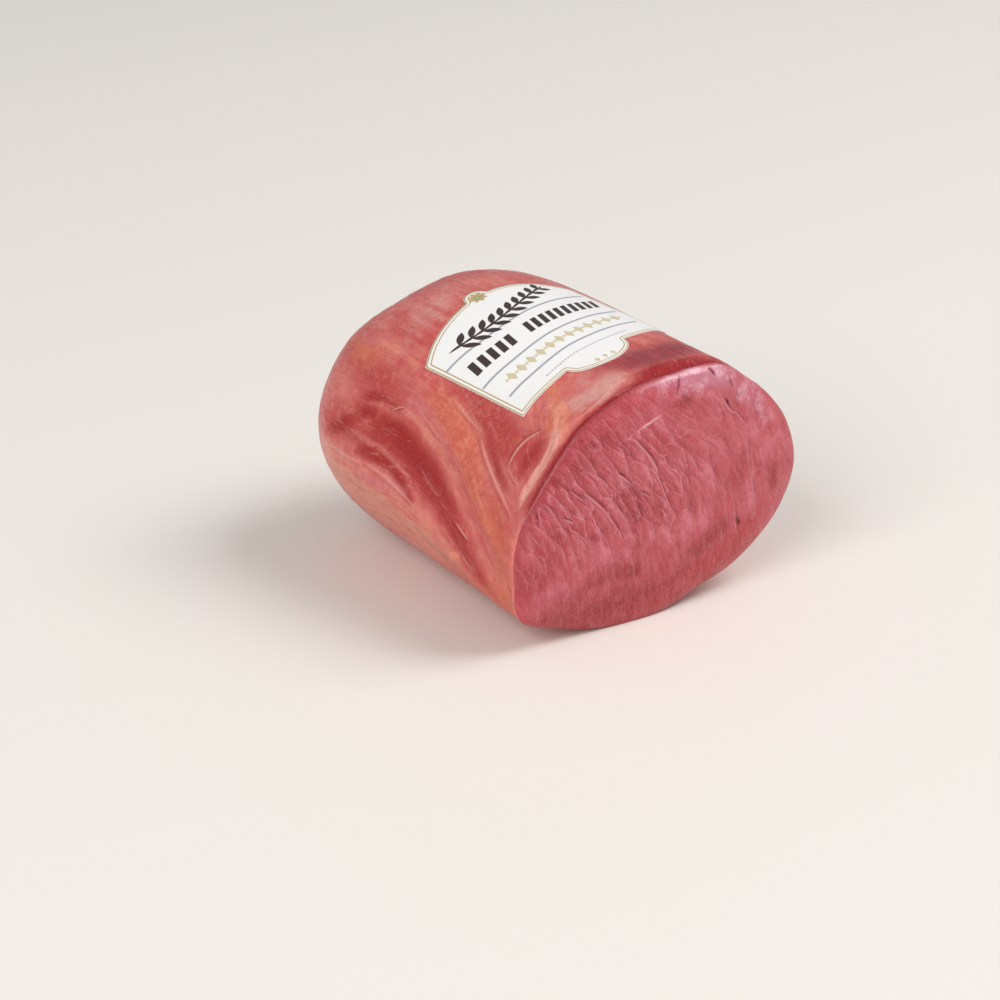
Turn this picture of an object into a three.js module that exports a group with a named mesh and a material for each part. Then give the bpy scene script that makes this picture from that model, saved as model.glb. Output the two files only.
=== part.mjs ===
import * as THREE from "three";

// A smoked beef joint: a blunt rounded piece of meat with one end cut open,
// and a paper label wrapped over its top. Millimetres; X runs across the cut
// face, Y from the cut face to the rounded far end, Z up from the table.

// Overall form. The cut plane is at y = 0 while the shape is being worked out.
const LENGTH = 160; // cut plane to the tip of the rounded end
const AXIS_HEIGHT = 49; // height of the middle line at the cut
const AXIS_RISE = 2; // the middle line climbs this much towards the far end
const BLEND_END = 0.7; // share of the length where the far outline takes over

// Distance from the middle line to the skin, anticlockwise from +X as seen
// from the cut: every 15 degrees at the cut, every 30 degrees at the far end.
const CUT_RADII = [
  72, 70, 66, 62.5, 61, 56.5, 54, 54, 54, 55.5, 56, 60,
  66.5, 70.5, 71.5, 62, 55.5, 51.8, 50, 48.8, 49.5, 54.5, 60.5, 67.5,
];
const FAR_RADII = [73.5, 67, 62, 61, 62.5, 73.5, 78.5, 70.5, 61, 53, 60.5, 69];

// The rounded end narrows over this depth, along a superellipse.
const END_DEPTH = 59;
const END_ALONG = 3; // exponent along the length
const END_ACROSS = 3.3; // exponent across

// The cut face swells out: a low dome, and a rounded edge that stands out by
// a different amount every 30 degrees.
const DOME = 2.5;
const EDGE_SWELL_MEAN = 4;
const EDGE_SWELL = [3.5, 3.5, 4.5, 5, 4.5, 3.5, 2, 1.5, 2, 3, 3, 3.5];
const EDGE_SHARPNESS = 12; // higher keeps the face flat closer to its edge

// Swellings and furrows of the skin. Each follows a path of points
// [degrees around, mm behind the cut, strength], reaches `half` mm to both
// sides of it, and stands out by `rise` mm where its strength is 1.
const RELIEF = {
  hollow: {
    half: 13,
    rise: -3.2,
    path: [[170, 114, 0.6], [164, 92, 1], [165, 72, 1], [174, 48, 1], [187, 29, 0.9], [200, 9, 0.4]],
  },
  ropeInHollow: { half: 4, rise: 1, path: [[176, 106, 0.5], [172, 78, 1], [176, 60, 1], [186, 42, 0.4]] },
  ridge: { half: 9, rise: 1.8, path: [[147, 84, 0.4], [154, 58, 1], [164, 40, 1], [173, 24, 1], [186, 6, 0.3]] },
  seam: { half: 4, rise: -1.2, path: [[146, 55, 0.4], [158, 30, 1], [166, 17, 1], [171, 9, 0.6]] },
  lobe: { half: 11, rise: 2.4, path: [[181, 116, 0.5], [182, 92, 1], [187, 66, 1], [194, 42, 1], [202, 18, 0.3]] },
  lowerCorner: { half: 12, rise: 2, path: [[205, 0, 1], [204, 32, 0]] },
  edgeFurrow: { half: 4.5, rise: -2.2, path: [[20, 1, 0], [60, 1, 0.6], [85, 1, 1], [120, 1.5, 1], [140, 2, 0.4]] },
  tendon: { half: 3.4, rise: 1.3, path: [[134, 8, 0.3], [147, 3.2, 1], [157, 2.6, 1], [168, 2.4, 0.9], [181, 2, 0.1]] },
};
const MM_PER_DEGREE = 1.08; // mean length of one degree of skin

// Mesh density: the face and the end are built of square rings, whose outer
// ring has eight points per ring and meets the first row of the side.
const RINGS = 16;
const SIDE_ROWS = 24;
const SIDE_GRADING = 1.6; // above 1 packs the side rows towards the cut
const END_RING_SHARE = 0.86; // radius share where rows give way to rings
const END_ROWS = 5;

// Paper label: `a` runs across it from its middle line and `b` up it from its
// straight lower edge, in mm. It has tapered sides, an arched top with a small
// crest and a rounded tongue below.
const LABEL_HALF_WIDTH = 44.7;
const LABEL_TAPER = 4.6;
const LABEL_SIDE = 54.3;
const LABEL_ARCH = 16.2;
const CREST_HALF = 5.6;
const CREST_UP = 5;
const TONGUE_HALF = 17;
const TONGUE_DEEP = 10;

// How the label lies on the skin: where its lower left corner is, how far its
// middle line leans, and how its rows drift back on the far side.
const LABEL_LEFT = 140.7; // degrees around
const LABEL_FRONT = 26.8; // mm behind the cut
const LABEL_MM_PER_DEGREE = 1.038; // length of one degree of skin under it
const LABEL_LEAN = 0.127;
const LABEL_SKEW = 0.064;
const LABEL_CURL = 9.1; // extra drift in mm at the full width below
const LABEL_CURL_WIDTH = 93;
const LABEL_GAP = 0.3;
const LABEL_THICKNESS = 0.4;
const LABEL_COLUMNS = 32;
const LABEL_ROWS = 10;

const MEAT_COLOUR = 0xb8504c;
const LABEL_COLOUR = 0xf2f0ea;

const clamp01 = (t) => Math.min(Math.max(t, 0), 1);

function smoothStep(t) {
  const u = clamp01(t);
  return u * u * (3 - 2 * u);
}

// Smooth closed curve through values spaced evenly around the circle.
function aroundCircle(values, degrees) {
  const n = values.length;
  const position = (((degrees / 360) % 1) + 1) % 1 * n;
  const i = Math.floor(position) % n;
  const f = position - Math.floor(position);
  const a = values[(i + n - 1) % n];
  const b = values[i];
  const c = values[(i + 1) % n];
  const d = values[(i + 2) % n];
  return b + 0.5 * f * (c - a + f * (2 * a - 5 * b + 4 * c - d + f * (3 * (b - c) + d - a)));
}

// Height of one swelling at a point of the skin: a smooth hump over the
// distance to its path, with the path's strength at the nearest spot.
function swellingAt({ path, half, rise }, degrees, y) {
  let nearest = Infinity;
  let strength = 0;
  for (let k = 0; k + 1 < path.length; k++) {
    const [degrees0, y0, strength0] = path[k];
    const [degrees1, y1, strength1] = path[k + 1];
    const across = (degrees - degrees0) * MM_PER_DEGREE;
    const along = y - y0;
    const stepAcross = (degrees1 - degrees0) * MM_PER_DEGREE;
    const stepAlong = y1 - y0;
    const t = clamp01((across * stepAcross + along * stepAlong) / (stepAcross ** 2 + stepAlong ** 2));
    const distance = Math.hypot(across - t * stepAcross, along - t * stepAlong);
    if (distance < nearest) {
      nearest = distance;
      strength = strength0 + (strength1 - strength0) * t;
    }
  }
  const reach = clamp01(nearest / half);
  return rise * strength * (1 - reach ** 2) ** 2;
}

function reliefAt(degrees, y) {
  return Object.values(RELIEF).reduce((height, swelling) => height + swellingAt(swelling, degrees, y), 0);
}

function skinRadius(degrees, y) {
  const farShare = smoothStep(y / (BLEND_END * LENGTH));
  const plain = aroundCircle(CUT_RADII, degrees) * (1 - farShare) + aroundCircle(FAR_RADII, degrees) * farShare;
  return plain + reliefAt(degrees, y);
}

// A point at a radius from the middle line, kept above the flat base.
function pointAt(degrees, y, radius) {
  const angle = THREE.MathUtils.degToRad(degrees);
  const axis = AXIS_HEIGHT + AXIS_RISE * smoothStep(y / (BLEND_END * LENGTH));
  const x = radius * Math.cos(angle);
  const z = Math.max(axis + radius * Math.sin(angle), 0);
  return new THREE.Vector3(x, y, z);
}

function endDepthAt(radiusShare) {
  return LENGTH - END_DEPTH + END_DEPTH * (1 - radiusShare ** END_ACROSS) ** (1 / END_ALONG);
}

function endShareAt(y) {
  const inEnd = clamp01((y - (LENGTH - END_DEPTH)) / END_DEPTH);
  return (1 - inEnd ** END_ALONG) ** (1 / END_ACROSS);
}

// Adds a disc of square rings whose outer ring is the given row of point
// numbers. `inside(degrees, share)` gives the points further in.
function addRingDisc(mesh, outerRow, inside, facingFront) {
  const side = 2 * RINGS + 1;
  const numbers = [];
  for (let j = 0; j < side; j++) {
    for (let i = 0; i < side; i++) {
      const p = i - RINGS;
      const q = j - RINGS;
      const ring = Math.max(Math.abs(p), Math.abs(q));
      const turn = ringTurn(p, q, ring);
      if (ring === RINGS) {
        numbers.push(outerRow[Math.round(turn * outerRow.length) % outerRow.length]);
      } else {
        numbers.push(mesh.points.length);
        mesh.points.push(inside(turn * 360, ring / RINGS));
      }
    }
  }
  for (let j = 0; j + 1 < side; j++) {
    for (let i = 0; i + 1 < side; i++) {
      const a = numbers[j * side + i];
      const b = numbers[j * side + i + 1];
      const c = numbers[(j + 1) * side + i + 1];
      const d = numbers[(j + 1) * side + i];
      const sameSign = (i < RINGS) === (j < RINGS);
      const pair = sameSign ? [[a, b, c], [a, c, d]] : [[a, b, d], [b, c, d]];
      for (const [u, v, w] of pair) mesh.triangles.push(facingFront ? [u, v, w] : [u, w, v]);
    }
  }
}

// Share of a full turn at which a point of a square ring lies on the circle.
function ringTurn(p, q, ring) {
  if (ring === 0) return 0;
  let eighths;
  if (p === ring && q > -ring) eighths = q / ring;
  else if (q === ring) eighths = 2 - p / ring;
  else if (p === -ring) eighths = 4 - q / ring;
  else eighths = 6 + p / ring;
  return (eighths / 8 + 1) % 1;
}

function facePoint(degrees, step) {
  const share = Math.sin((Math.PI / 2) * step);
  const swell = EDGE_SWELL_MEAN + (aroundCircle(EDGE_SWELL, degrees) - EDGE_SWELL_MEAN) * share ** 2;
  const depth = DOME * (1 - share ** 2) + swell * Math.sqrt(1 - share ** EDGE_SHARPNESS);
  const point = pointAt(degrees, 0, skinRadius(degrees, 0) * share);
  point.y = -depth;
  return point;
}

function endPoint(degrees, step) {
  const share = END_RING_SHARE * step;
  const y = endDepthAt(share);
  return pointAt(degrees, y, skinRadius(degrees, y) * share);
}

function toGeometry(mesh, shift) {
  const positions = mesh.points.flatMap((point) => [point.x - shift.x, point.y - shift.y, point.z - shift.z]);
  const geometry = new THREE.BufferGeometry();
  geometry.setAttribute("position", new THREE.Float32BufferAttribute(positions, 3));
  geometry.setIndex(mesh.triangles.flat());
  geometry.computeVertexNormals();
  return geometry;
}

function addBand(mesh, nearRow, farRow) {
  const around = nearRow.length;
  for (let k = 0; k < around; k++) {
    const next = (k + 1) % around;
    mesh.triangles.push([nearRow[k], farRow[next], nearRow[next]], [nearRow[k], farRow[k], farRow[next]]);
  }
}

function buildMeat() {
  const mesh = { points: [], triangles: [] };
  const around = 8 * RINGS;
  const addRow = (y, share) => {
    const row = [];
    for (let k = 0; k < around; k++) {
      const degrees = (k / around) * 360;
      row.push(mesh.points.length);
      mesh.points.push(pointAt(degrees, y, skinRadius(degrees, y) * share));
    }
    return row;
  };
  const rows = [];
  for (let k = 0; k <= SIDE_ROWS; k++) {
    rows.push(addRow((LENGTH - END_DEPTH) * (k / SIDE_ROWS) ** SIDE_GRADING, 1));
  }
  for (let k = 1; k <= END_ROWS; k++) {
    const fall = (k / END_ROWS) ** 2;
    const share = 1 - (1 - END_RING_SHARE) * fall;
    rows.push(addRow(endDepthAt(share), share));
  }
  for (let k = 0; k + 1 < rows.length; k++) addBand(mesh, rows[k], rows[k + 1]);
  addRingDisc(mesh, rows[0], facePoint, true);
  addRingDisc(mesh, rows[rows.length - 1], endPoint, false);
  return mesh;
}

function labelLowerEdge(share) {
  const a = share * LABEL_HALF_WIDTH;
  return -TONGUE_DEEP * Math.sqrt(clamp01(1 - (a / TONGUE_HALF) ** 2));
}

function labelUpperEdge(share) {
  const a = share * (LABEL_HALF_WIDTH - LABEL_TAPER);
  const crest = CREST_UP * Math.sqrt(clamp01(1 - (a / CREST_HALF) ** 2));
  return LABEL_SIDE + LABEL_ARCH * (1 - share ** 2) + crest;
}

function labelPoint(share, b, lift) {
  const a = share * (LABEL_HALF_WIDTH - (LABEL_TAPER * b) / LABEL_SIDE);
  const across = LABEL_HALF_WIDTH + a - LABEL_LEAN * b;
  const degrees = LABEL_LEFT - across / LABEL_MM_PER_DEGREE;
  const y = LABEL_FRONT + b + LABEL_SKEW * across + LABEL_CURL * (across / LABEL_CURL_WIDTH) ** 3;
  return pointAt(degrees, y, skinRadius(degrees, y) * endShareAt(y) + lift);
}

function buildLabel() {
  const mesh = { points: [], triangles: [] };
  const sheet = (lift) => {
    const rows = [];
    for (let j = 0; j <= LABEL_ROWS; j++) {
      const row = [];
      for (let i = 0; i <= LABEL_COLUMNS; i++) {
        const share = (2 * i) / LABEL_COLUMNS - 1;
        const low = labelLowerEdge(share);
        const b = low + (labelUpperEdge(share) - low) * (j / LABEL_ROWS);
        row.push(mesh.points.length);
        mesh.points.push(labelPoint(share, b, lift));
      }
      rows.push(row);
    }
    return rows;
  };
  const under = sheet(LABEL_GAP);
  const over = sheet(LABEL_GAP + LABEL_THICKNESS);
  for (let j = 0; j < LABEL_ROWS; j++) {
    for (let i = 0; i < LABEL_COLUMNS; i++) {
      mesh.triangles.push(
        [over[j][i], over[j][i + 1], over[j + 1][i + 1]],
        [over[j][i], over[j + 1][i + 1], over[j + 1][i]],
        [under[j][i], under[j + 1][i + 1], under[j][i + 1]],
        [under[j][i], under[j + 1][i], under[j + 1][i + 1]],
      );
    }
  }
  const wall = (a, b) => {
    mesh.triangles.push([under[a[0]][a[1]], under[b[0]][b[1]], over[b[0]][b[1]]]);
    mesh.triangles.push([under[a[0]][a[1]], over[b[0]][b[1]], over[a[0]][a[1]]]);
  };
  for (let i = 0; i < LABEL_COLUMNS; i++) {
    wall([0, i], [0, i + 1]);
    wall([LABEL_ROWS, i + 1], [LABEL_ROWS, i]);
  }
  for (let j = 0; j < LABEL_ROWS; j++) {
    wall([j, LABEL_COLUMNS], [j + 1, LABEL_COLUMNS]);
    wall([j + 1, 0], [j, 0]);
  }
  return mesh;
}

function namedMesh(name, mesh, shift, colour, roughness) {
  const material = new THREE.MeshStandardMaterial({ color: colour, roughness });
  const object = new THREE.Mesh(toGeometry(mesh, shift), material);
  object.name = name;
  return object;
}

// The finished part stands on z = 0 with its bounding box centred on X and Y.
function buildPart() {
  const meat = buildMeat();
  const box = new THREE.Box3().setFromPoints(meat.points);
  const centre = box.getCenter(new THREE.Vector3());
  const shift = new THREE.Vector3(centre.x, centre.y, 0);
  const part = new THREE.Group();
  part.name = "smoked_beef";
  part.add(namedMesh("beef", meat, shift, MEAT_COLOUR, 0.35));
  part.add(namedMesh("label", buildLabel(), shift, LABEL_COLOUR, 0.6));
  return part;
}

export default buildPart();
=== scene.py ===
# %% [markdown]
# # A smoked beef joint
# The object is one blunt, rounded piece of cooked smoked beef. One end is cut
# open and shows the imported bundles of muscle; the rest is a moist reddish skin
# with furrows, pale membranes and a tendon. A paper label lies over its top.
# This lesson builds the meat as one closed mesh from a few named outlines,
# paints it with masks that follow the same paths as its furrows, and prints
# the label with shader maths.

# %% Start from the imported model
import math

import bpy
import numpy as np
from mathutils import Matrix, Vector


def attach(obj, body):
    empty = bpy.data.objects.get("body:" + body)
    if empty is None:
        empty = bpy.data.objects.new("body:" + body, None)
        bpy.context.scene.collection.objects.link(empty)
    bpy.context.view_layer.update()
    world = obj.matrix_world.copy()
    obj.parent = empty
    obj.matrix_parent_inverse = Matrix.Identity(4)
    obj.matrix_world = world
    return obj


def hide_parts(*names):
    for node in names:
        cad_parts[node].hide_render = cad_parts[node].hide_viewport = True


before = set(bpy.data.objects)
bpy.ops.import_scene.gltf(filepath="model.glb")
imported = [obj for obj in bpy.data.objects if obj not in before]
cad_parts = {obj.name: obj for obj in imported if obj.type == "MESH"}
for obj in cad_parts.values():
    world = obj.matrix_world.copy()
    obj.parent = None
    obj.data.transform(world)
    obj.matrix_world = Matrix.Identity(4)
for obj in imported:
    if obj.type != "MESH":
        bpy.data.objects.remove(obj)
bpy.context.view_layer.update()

# %% [markdown]
# ## The outline of the meat
# A joint like this is a bent cylinder of muscle: soft, but still a simple
# form. It could be sculpted, or grown from metaballs, but then the paper
# label would have nothing exact to lie on. So the skin is a function: for an
# angle around the middle line and a distance behind the cut it gives a
# radius. Two outlines, at the cut and at the far end, are blended along the
# length, and named paths raise or lower the skin.

# %% Sizes of the whole piece, in millimetres
MM = 0.001
LENGTH = 160.0
AXIS_X = 3.283
CUT_Y = -76.75
AXIS_HEIGHT = 49.0
AXIS_RISE = 2.0
BLEND_END = 0.7  # share of the length at which the outline has become the far one
END_DEPTH = 59.0
END_ALONG = 3.0  # powers that shape the rounded end
END_ACROSS = 3.3
DOME = 2.5
EDGE_SWELL_MEAN = 4.0
EDGE_SHARPNESS = 12  # power; a higher one rounds the cut's edge over a narrower ring
MM_PER_DEGREE = 1.08

# Radii from the middle line, anticlockwise from +X as the cut is faced.
CUT_RADII = (
    72, 70, 66, 62.5, 61, 56.5, 54, 54, 54, 55.5, 56, 60,
    66.5, 70.5, 71.5, 62, 55.5, 51.8, 50, 48.8, 49.5, 54.5, 60.5, 67.5,
)
FAR_RADII = (73.5, 67, 62, 61, 62.5, 73.5, 78.5, 70.5, 61, 53, 60.5, 69)
EDGE_SWELL = (3.5, 3.5, 4.5, 5, 4.5, 3.5, 2, 1.5, 2, 3, 3, 3.5)


def smooth_step(t):
    t = np.clip(t, 0, 1)
    return t * t * (3 - 2 * t)


def around_circle(values, degrees):
    """Smooth closed curve through values spaced evenly around the circle."""
    values = np.asarray(values, float)
    count = len(values)
    position = (np.asarray(degrees, float) / 360 % 1) * count
    i = np.floor(position).astype(int) % count
    f = position - np.floor(position)
    a, b = values[i - 1], values[i]
    c, d = values[(i + 1) % count], values[(i + 2) % count]
    return b + 0.5 * f * (c - a + f * (2 * a - 5 * b + 4 * c - d + f * (3 * (b - c) + d - a)))


# %% [markdown]
# ## Paths on the skin
# Muscle is wrapped in thin membranes, so its surface is a set of long swellings
# with furrows between them. Each one is a path of points (degrees around,
# millimetres behind the cut, strength). The same kind of path later marks
# where the skin is darker, paler or more orange, so colour and form agree.

# %% Strokes: a soft band along a path
def soft_band(path, half, across, along):
    """Strength of a band, `half` mm to each side of a path of (across, along, strength) points."""
    nearest = np.full(np.shape(across), np.inf)
    strength = np.zeros(np.shape(across))
    for (across_0, along_0, strength_0), (across_1, along_1, strength_1) in zip(path, path[1:]):
        step_across, step_along = across_1 - across_0, along_1 - along_0
        reach = (across - across_0) * step_across + (along - along_0) * step_along
        t = np.clip(reach / (step_across**2 + step_along**2), 0, 1)
        distance = np.hypot(across - across_0 - t * step_across, along - along_0 - t * step_along)
        closer = distance < nearest
        nearest = np.where(closer, distance, nearest)
        strength = np.where(closer, strength_0 + (strength_1 - strength_0) * t, strength)
    return strength * (1 - np.clip(nearest / half, 0, 1) ** 2) ** 2


def stroke(path, half, degrees, along):
    """The same on the skin, for a path of (degrees around, mm behind the cut, strength) points."""
    start = path[0][0]
    across = ((degrees - start + 180) % 360 - 180) * MM_PER_DEGREE
    in_mm = [((turn - start) * MM_PER_DEGREE, back, strength) for turn, back, strength in path]
    return soft_band(in_mm, half, across, along)


# Half width and rise in mm, then the path.
RELIEF = {
    "hollow": (
        13, -3.2,
        ((170, 114, 0.6), (164, 92, 1), (165, 72, 1), (174, 48, 1), (187, 29, 0.9), (200, 9, 0.4)),
    ),
    "rope in hollow": (4, 1.0, ((176, 106, 0.5), (172, 78, 1), (176, 60, 1), (186, 42, 0.4))),
    "ridge": (9, 1.8, ((147, 84, 0.4), (154, 58, 1), (164, 40, 1), (173, 24, 1), (186, 6, 0.3))),
    "seam": (4, -1.2, ((146, 55, 0.4), (158, 30, 1), (166, 17, 1), (171, 9, 0.6))),
    "lobe": (11, 2.4, ((181, 116, 0.5), (182, 92, 1), (187, 66, 1), (194, 42, 1), (202, 18, 0.3))),
    "lower corner": (12, 2.0, ((205, 0, 1), (204, 32, 0))),
    "edge furrow": (4.5, -2.2, ((20, 1, 0), (60, 1, 0.6), (85, 1, 1), (120, 1.5, 1), (140, 2, 0.4))),
    "tendon": (3.4, 1.3, ((134, 8, 0.3), (147, 3.2, 1), (157, 2.6, 1), (168, 2.4, 0.9), (181, 2, 0.1))),
}


def skin_radius(degrees, along):
    far_share = smooth_step(along / (BLEND_END * LENGTH))
    at_cut = around_circle(CUT_RADII, degrees)
    at_far_end = around_circle(FAR_RADII, degrees)
    radius = at_cut * (1 - far_share) + at_far_end * far_share
    for half, rise, path in RELIEF.values():
        radius = radius + rise * stroke(path, half, degrees, along)
    return radius


def end_share(along):
    """Share of the radius that is left in the rounded far end."""
    in_end = np.clip((along - (LENGTH - END_DEPTH)) / END_DEPTH, 0, 1)
    return (1 - in_end**END_ALONG) ** (1 / END_ACROSS)


def end_depth(share):
    return LENGTH - END_DEPTH + END_DEPTH * (1 - share**END_ACROSS) ** (1 / END_ALONG)


def point_at(degrees, along, radius):
    """Places a radius in the frame, in mm, kept above the flat base."""
    turn = np.radians(degrees)
    axis = AXIS_HEIGHT + AXIS_RISE * smooth_step(along / (BLEND_END * LENGTH))
    x = AXIS_X + radius * np.cos(turn)
    z = np.maximum(axis + radius * np.sin(turn), 0)
    return np.stack(np.broadcast_arrays(x, CUT_Y + along, z), -1)


# %% [markdown]
# ## One closed mesh
# The side is a grid of rows around the middle line. The cut face and the far
# end are discs. A disc made of a fan has a pole in its middle where all its
# triangles meet; square rings do without one. Ring number k has 8k points, so
# the outer ring of the disc meets the first row of the side point by point.

# %% Grid of the meat
RINGS = 72
FACE_GRADING = 1.4
SIDE_ROWS = 90
SIDE_GRADING = 1.25
END_RING_SHARE = 0.86
END_ROWS = 10


def ring_turn(p, q, ring):
    """Share of a turn at which a point of a square ring lies on its circle."""
    if ring == 0:
        return 0.0
    if p == ring and q > -ring:
        eighths = q / ring
    elif q == ring:
        eighths = 2 - p / ring
    elif p == -ring:
        eighths = 4 - q / ring
    else:
        eighths = 6 + p / ring
    return eighths / 8 % 1


def disc_layout(outer_row, first_free):
    """Point numbers of a disc of square rings, and (turn, ring share) of its own points."""
    numbers = {}
    own = []
    for q in range(-RINGS, RINGS + 1):
        for p in range(-RINGS, RINGS + 1):
            ring = max(abs(p), abs(q))
            turn = ring_turn(p, q, ring)
            if ring == RINGS:
                numbers[p, q] = outer_row[round(turn * len(outer_row)) % len(outer_row)]
            else:
                numbers[p, q] = first_free + len(own)
                own.append((turn * 360, ring / RINGS))
    quads = []
    for q in range(-RINGS, RINGS):
        for p in range(-RINGS, RINGS):
            quads.append((numbers[p, q], numbers[p + 1, q], numbers[p + 1, q + 1], numbers[p, q + 1]))
    return np.array(own), quads


def face_points(degrees, step):
    """The cut face: a low dome whose edge swells out in front of the cut plane."""
    share = 1 - (1 - step) ** FACE_GRADING
    swell = EDGE_SWELL_MEAN + (around_circle(EDGE_SWELL, degrees) - EDGE_SWELL_MEAN) * share**2
    depth = DOME * (1 - share**2) + swell * np.sqrt(1 - share**EDGE_SHARPNESS)
    points = point_at(degrees, np.zeros_like(degrees), skin_radius(degrees, np.zeros_like(degrees)) * share)
    points[:, 1] -= depth
    return points, share


def build_meat_mesh():
    """Returns points in mm, faces, and each point's (degrees, mm behind the cut, share of the face)."""
    around = 8 * RINGS
    turns = np.arange(around) * 360 / around
    alongs = [(LENGTH - END_DEPTH) * (k / SIDE_ROWS) ** SIDE_GRADING for k in range(SIDE_ROWS + 1)]
    shares = [1.0] * len(alongs)
    for k in range(1, END_ROWS + 1):
        share = 1 - (1 - END_RING_SHARE) * (k / END_ROWS) ** 2
        alongs.append(end_depth(share))
        shares.append(share)
    points, where = [], []
    for along, share in zip(alongs, shares):
        row_along = np.full(around, along)
        points.append(point_at(turns, row_along, skin_radius(turns, row_along) * share))
        where.append(np.stack([turns, row_along, np.ones(around)], -1))
    quads = []
    for j in range(len(alongs) - 1):
        for i in range(around):
            k = (i + 1) % around
            quads.append((j * around + i, (j + 1) * around + i, (j + 1) * around + k, j * around + k))
    first_row = list(range(around))
    last_row = [(len(alongs) - 1) * around + i for i in range(around)]
    count = len(alongs) * around
    own, face_quads = disc_layout(first_row, count)
    face, share = face_points(own[:, 0], own[:, 1])
    points.append(face)
    where.append(np.stack([own[:, 0], np.zeros(len(own)), share], -1))
    own, end_quads = disc_layout(last_row, count + len(own))
    share = END_RING_SHARE * own[:, 1]
    along = end_depth(share)
    points.append(point_at(own[:, 0], along, skin_radius(own[:, 0], along) * share))
    where.append(np.stack([own[:, 0], along, np.ones(len(own))], -1))
    quads += face_quads
    quads += [quad[::-1] for quad in end_quads]
    return np.concatenate(points), quads, np.concatenate(where)


meat_points, meat_quads, meat_where = build_meat_mesh()
print("meat", len(meat_points), "points,", 2 * len(meat_quads), "triangles")
print("box in mm", meat_points.min(0).round(2), meat_points.max(0).round(2))


# %% A mesh object from points and faces
def make_object(name, points_mm, faces):
    mesh = bpy.data.meshes.new(name)
    mesh.from_pydata((points_mm * MM).tolist(), [], faces)
    mesh.shade_smooth()
    mesh.update()
    made = bpy.data.objects.new(name, mesh)
    bpy.context.scene.collection.objects.link(made)
    return made


def add_attribute(made, name, values):
    layer = made.data.attributes.new(name, "FLOAT", "POINT")
    layer.data.foreach_set("value", np.asarray(values, np.float32))


def add_vectors(made, name, vectors):
    layer = made.data.attributes.new(name, "FLOAT_VECTOR", "POINT")
    layer.data.foreach_set("vector", np.asarray(vectors, np.float32).ravel())


meat = make_object("smoked_beef", meat_points, meat_quads)
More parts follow.
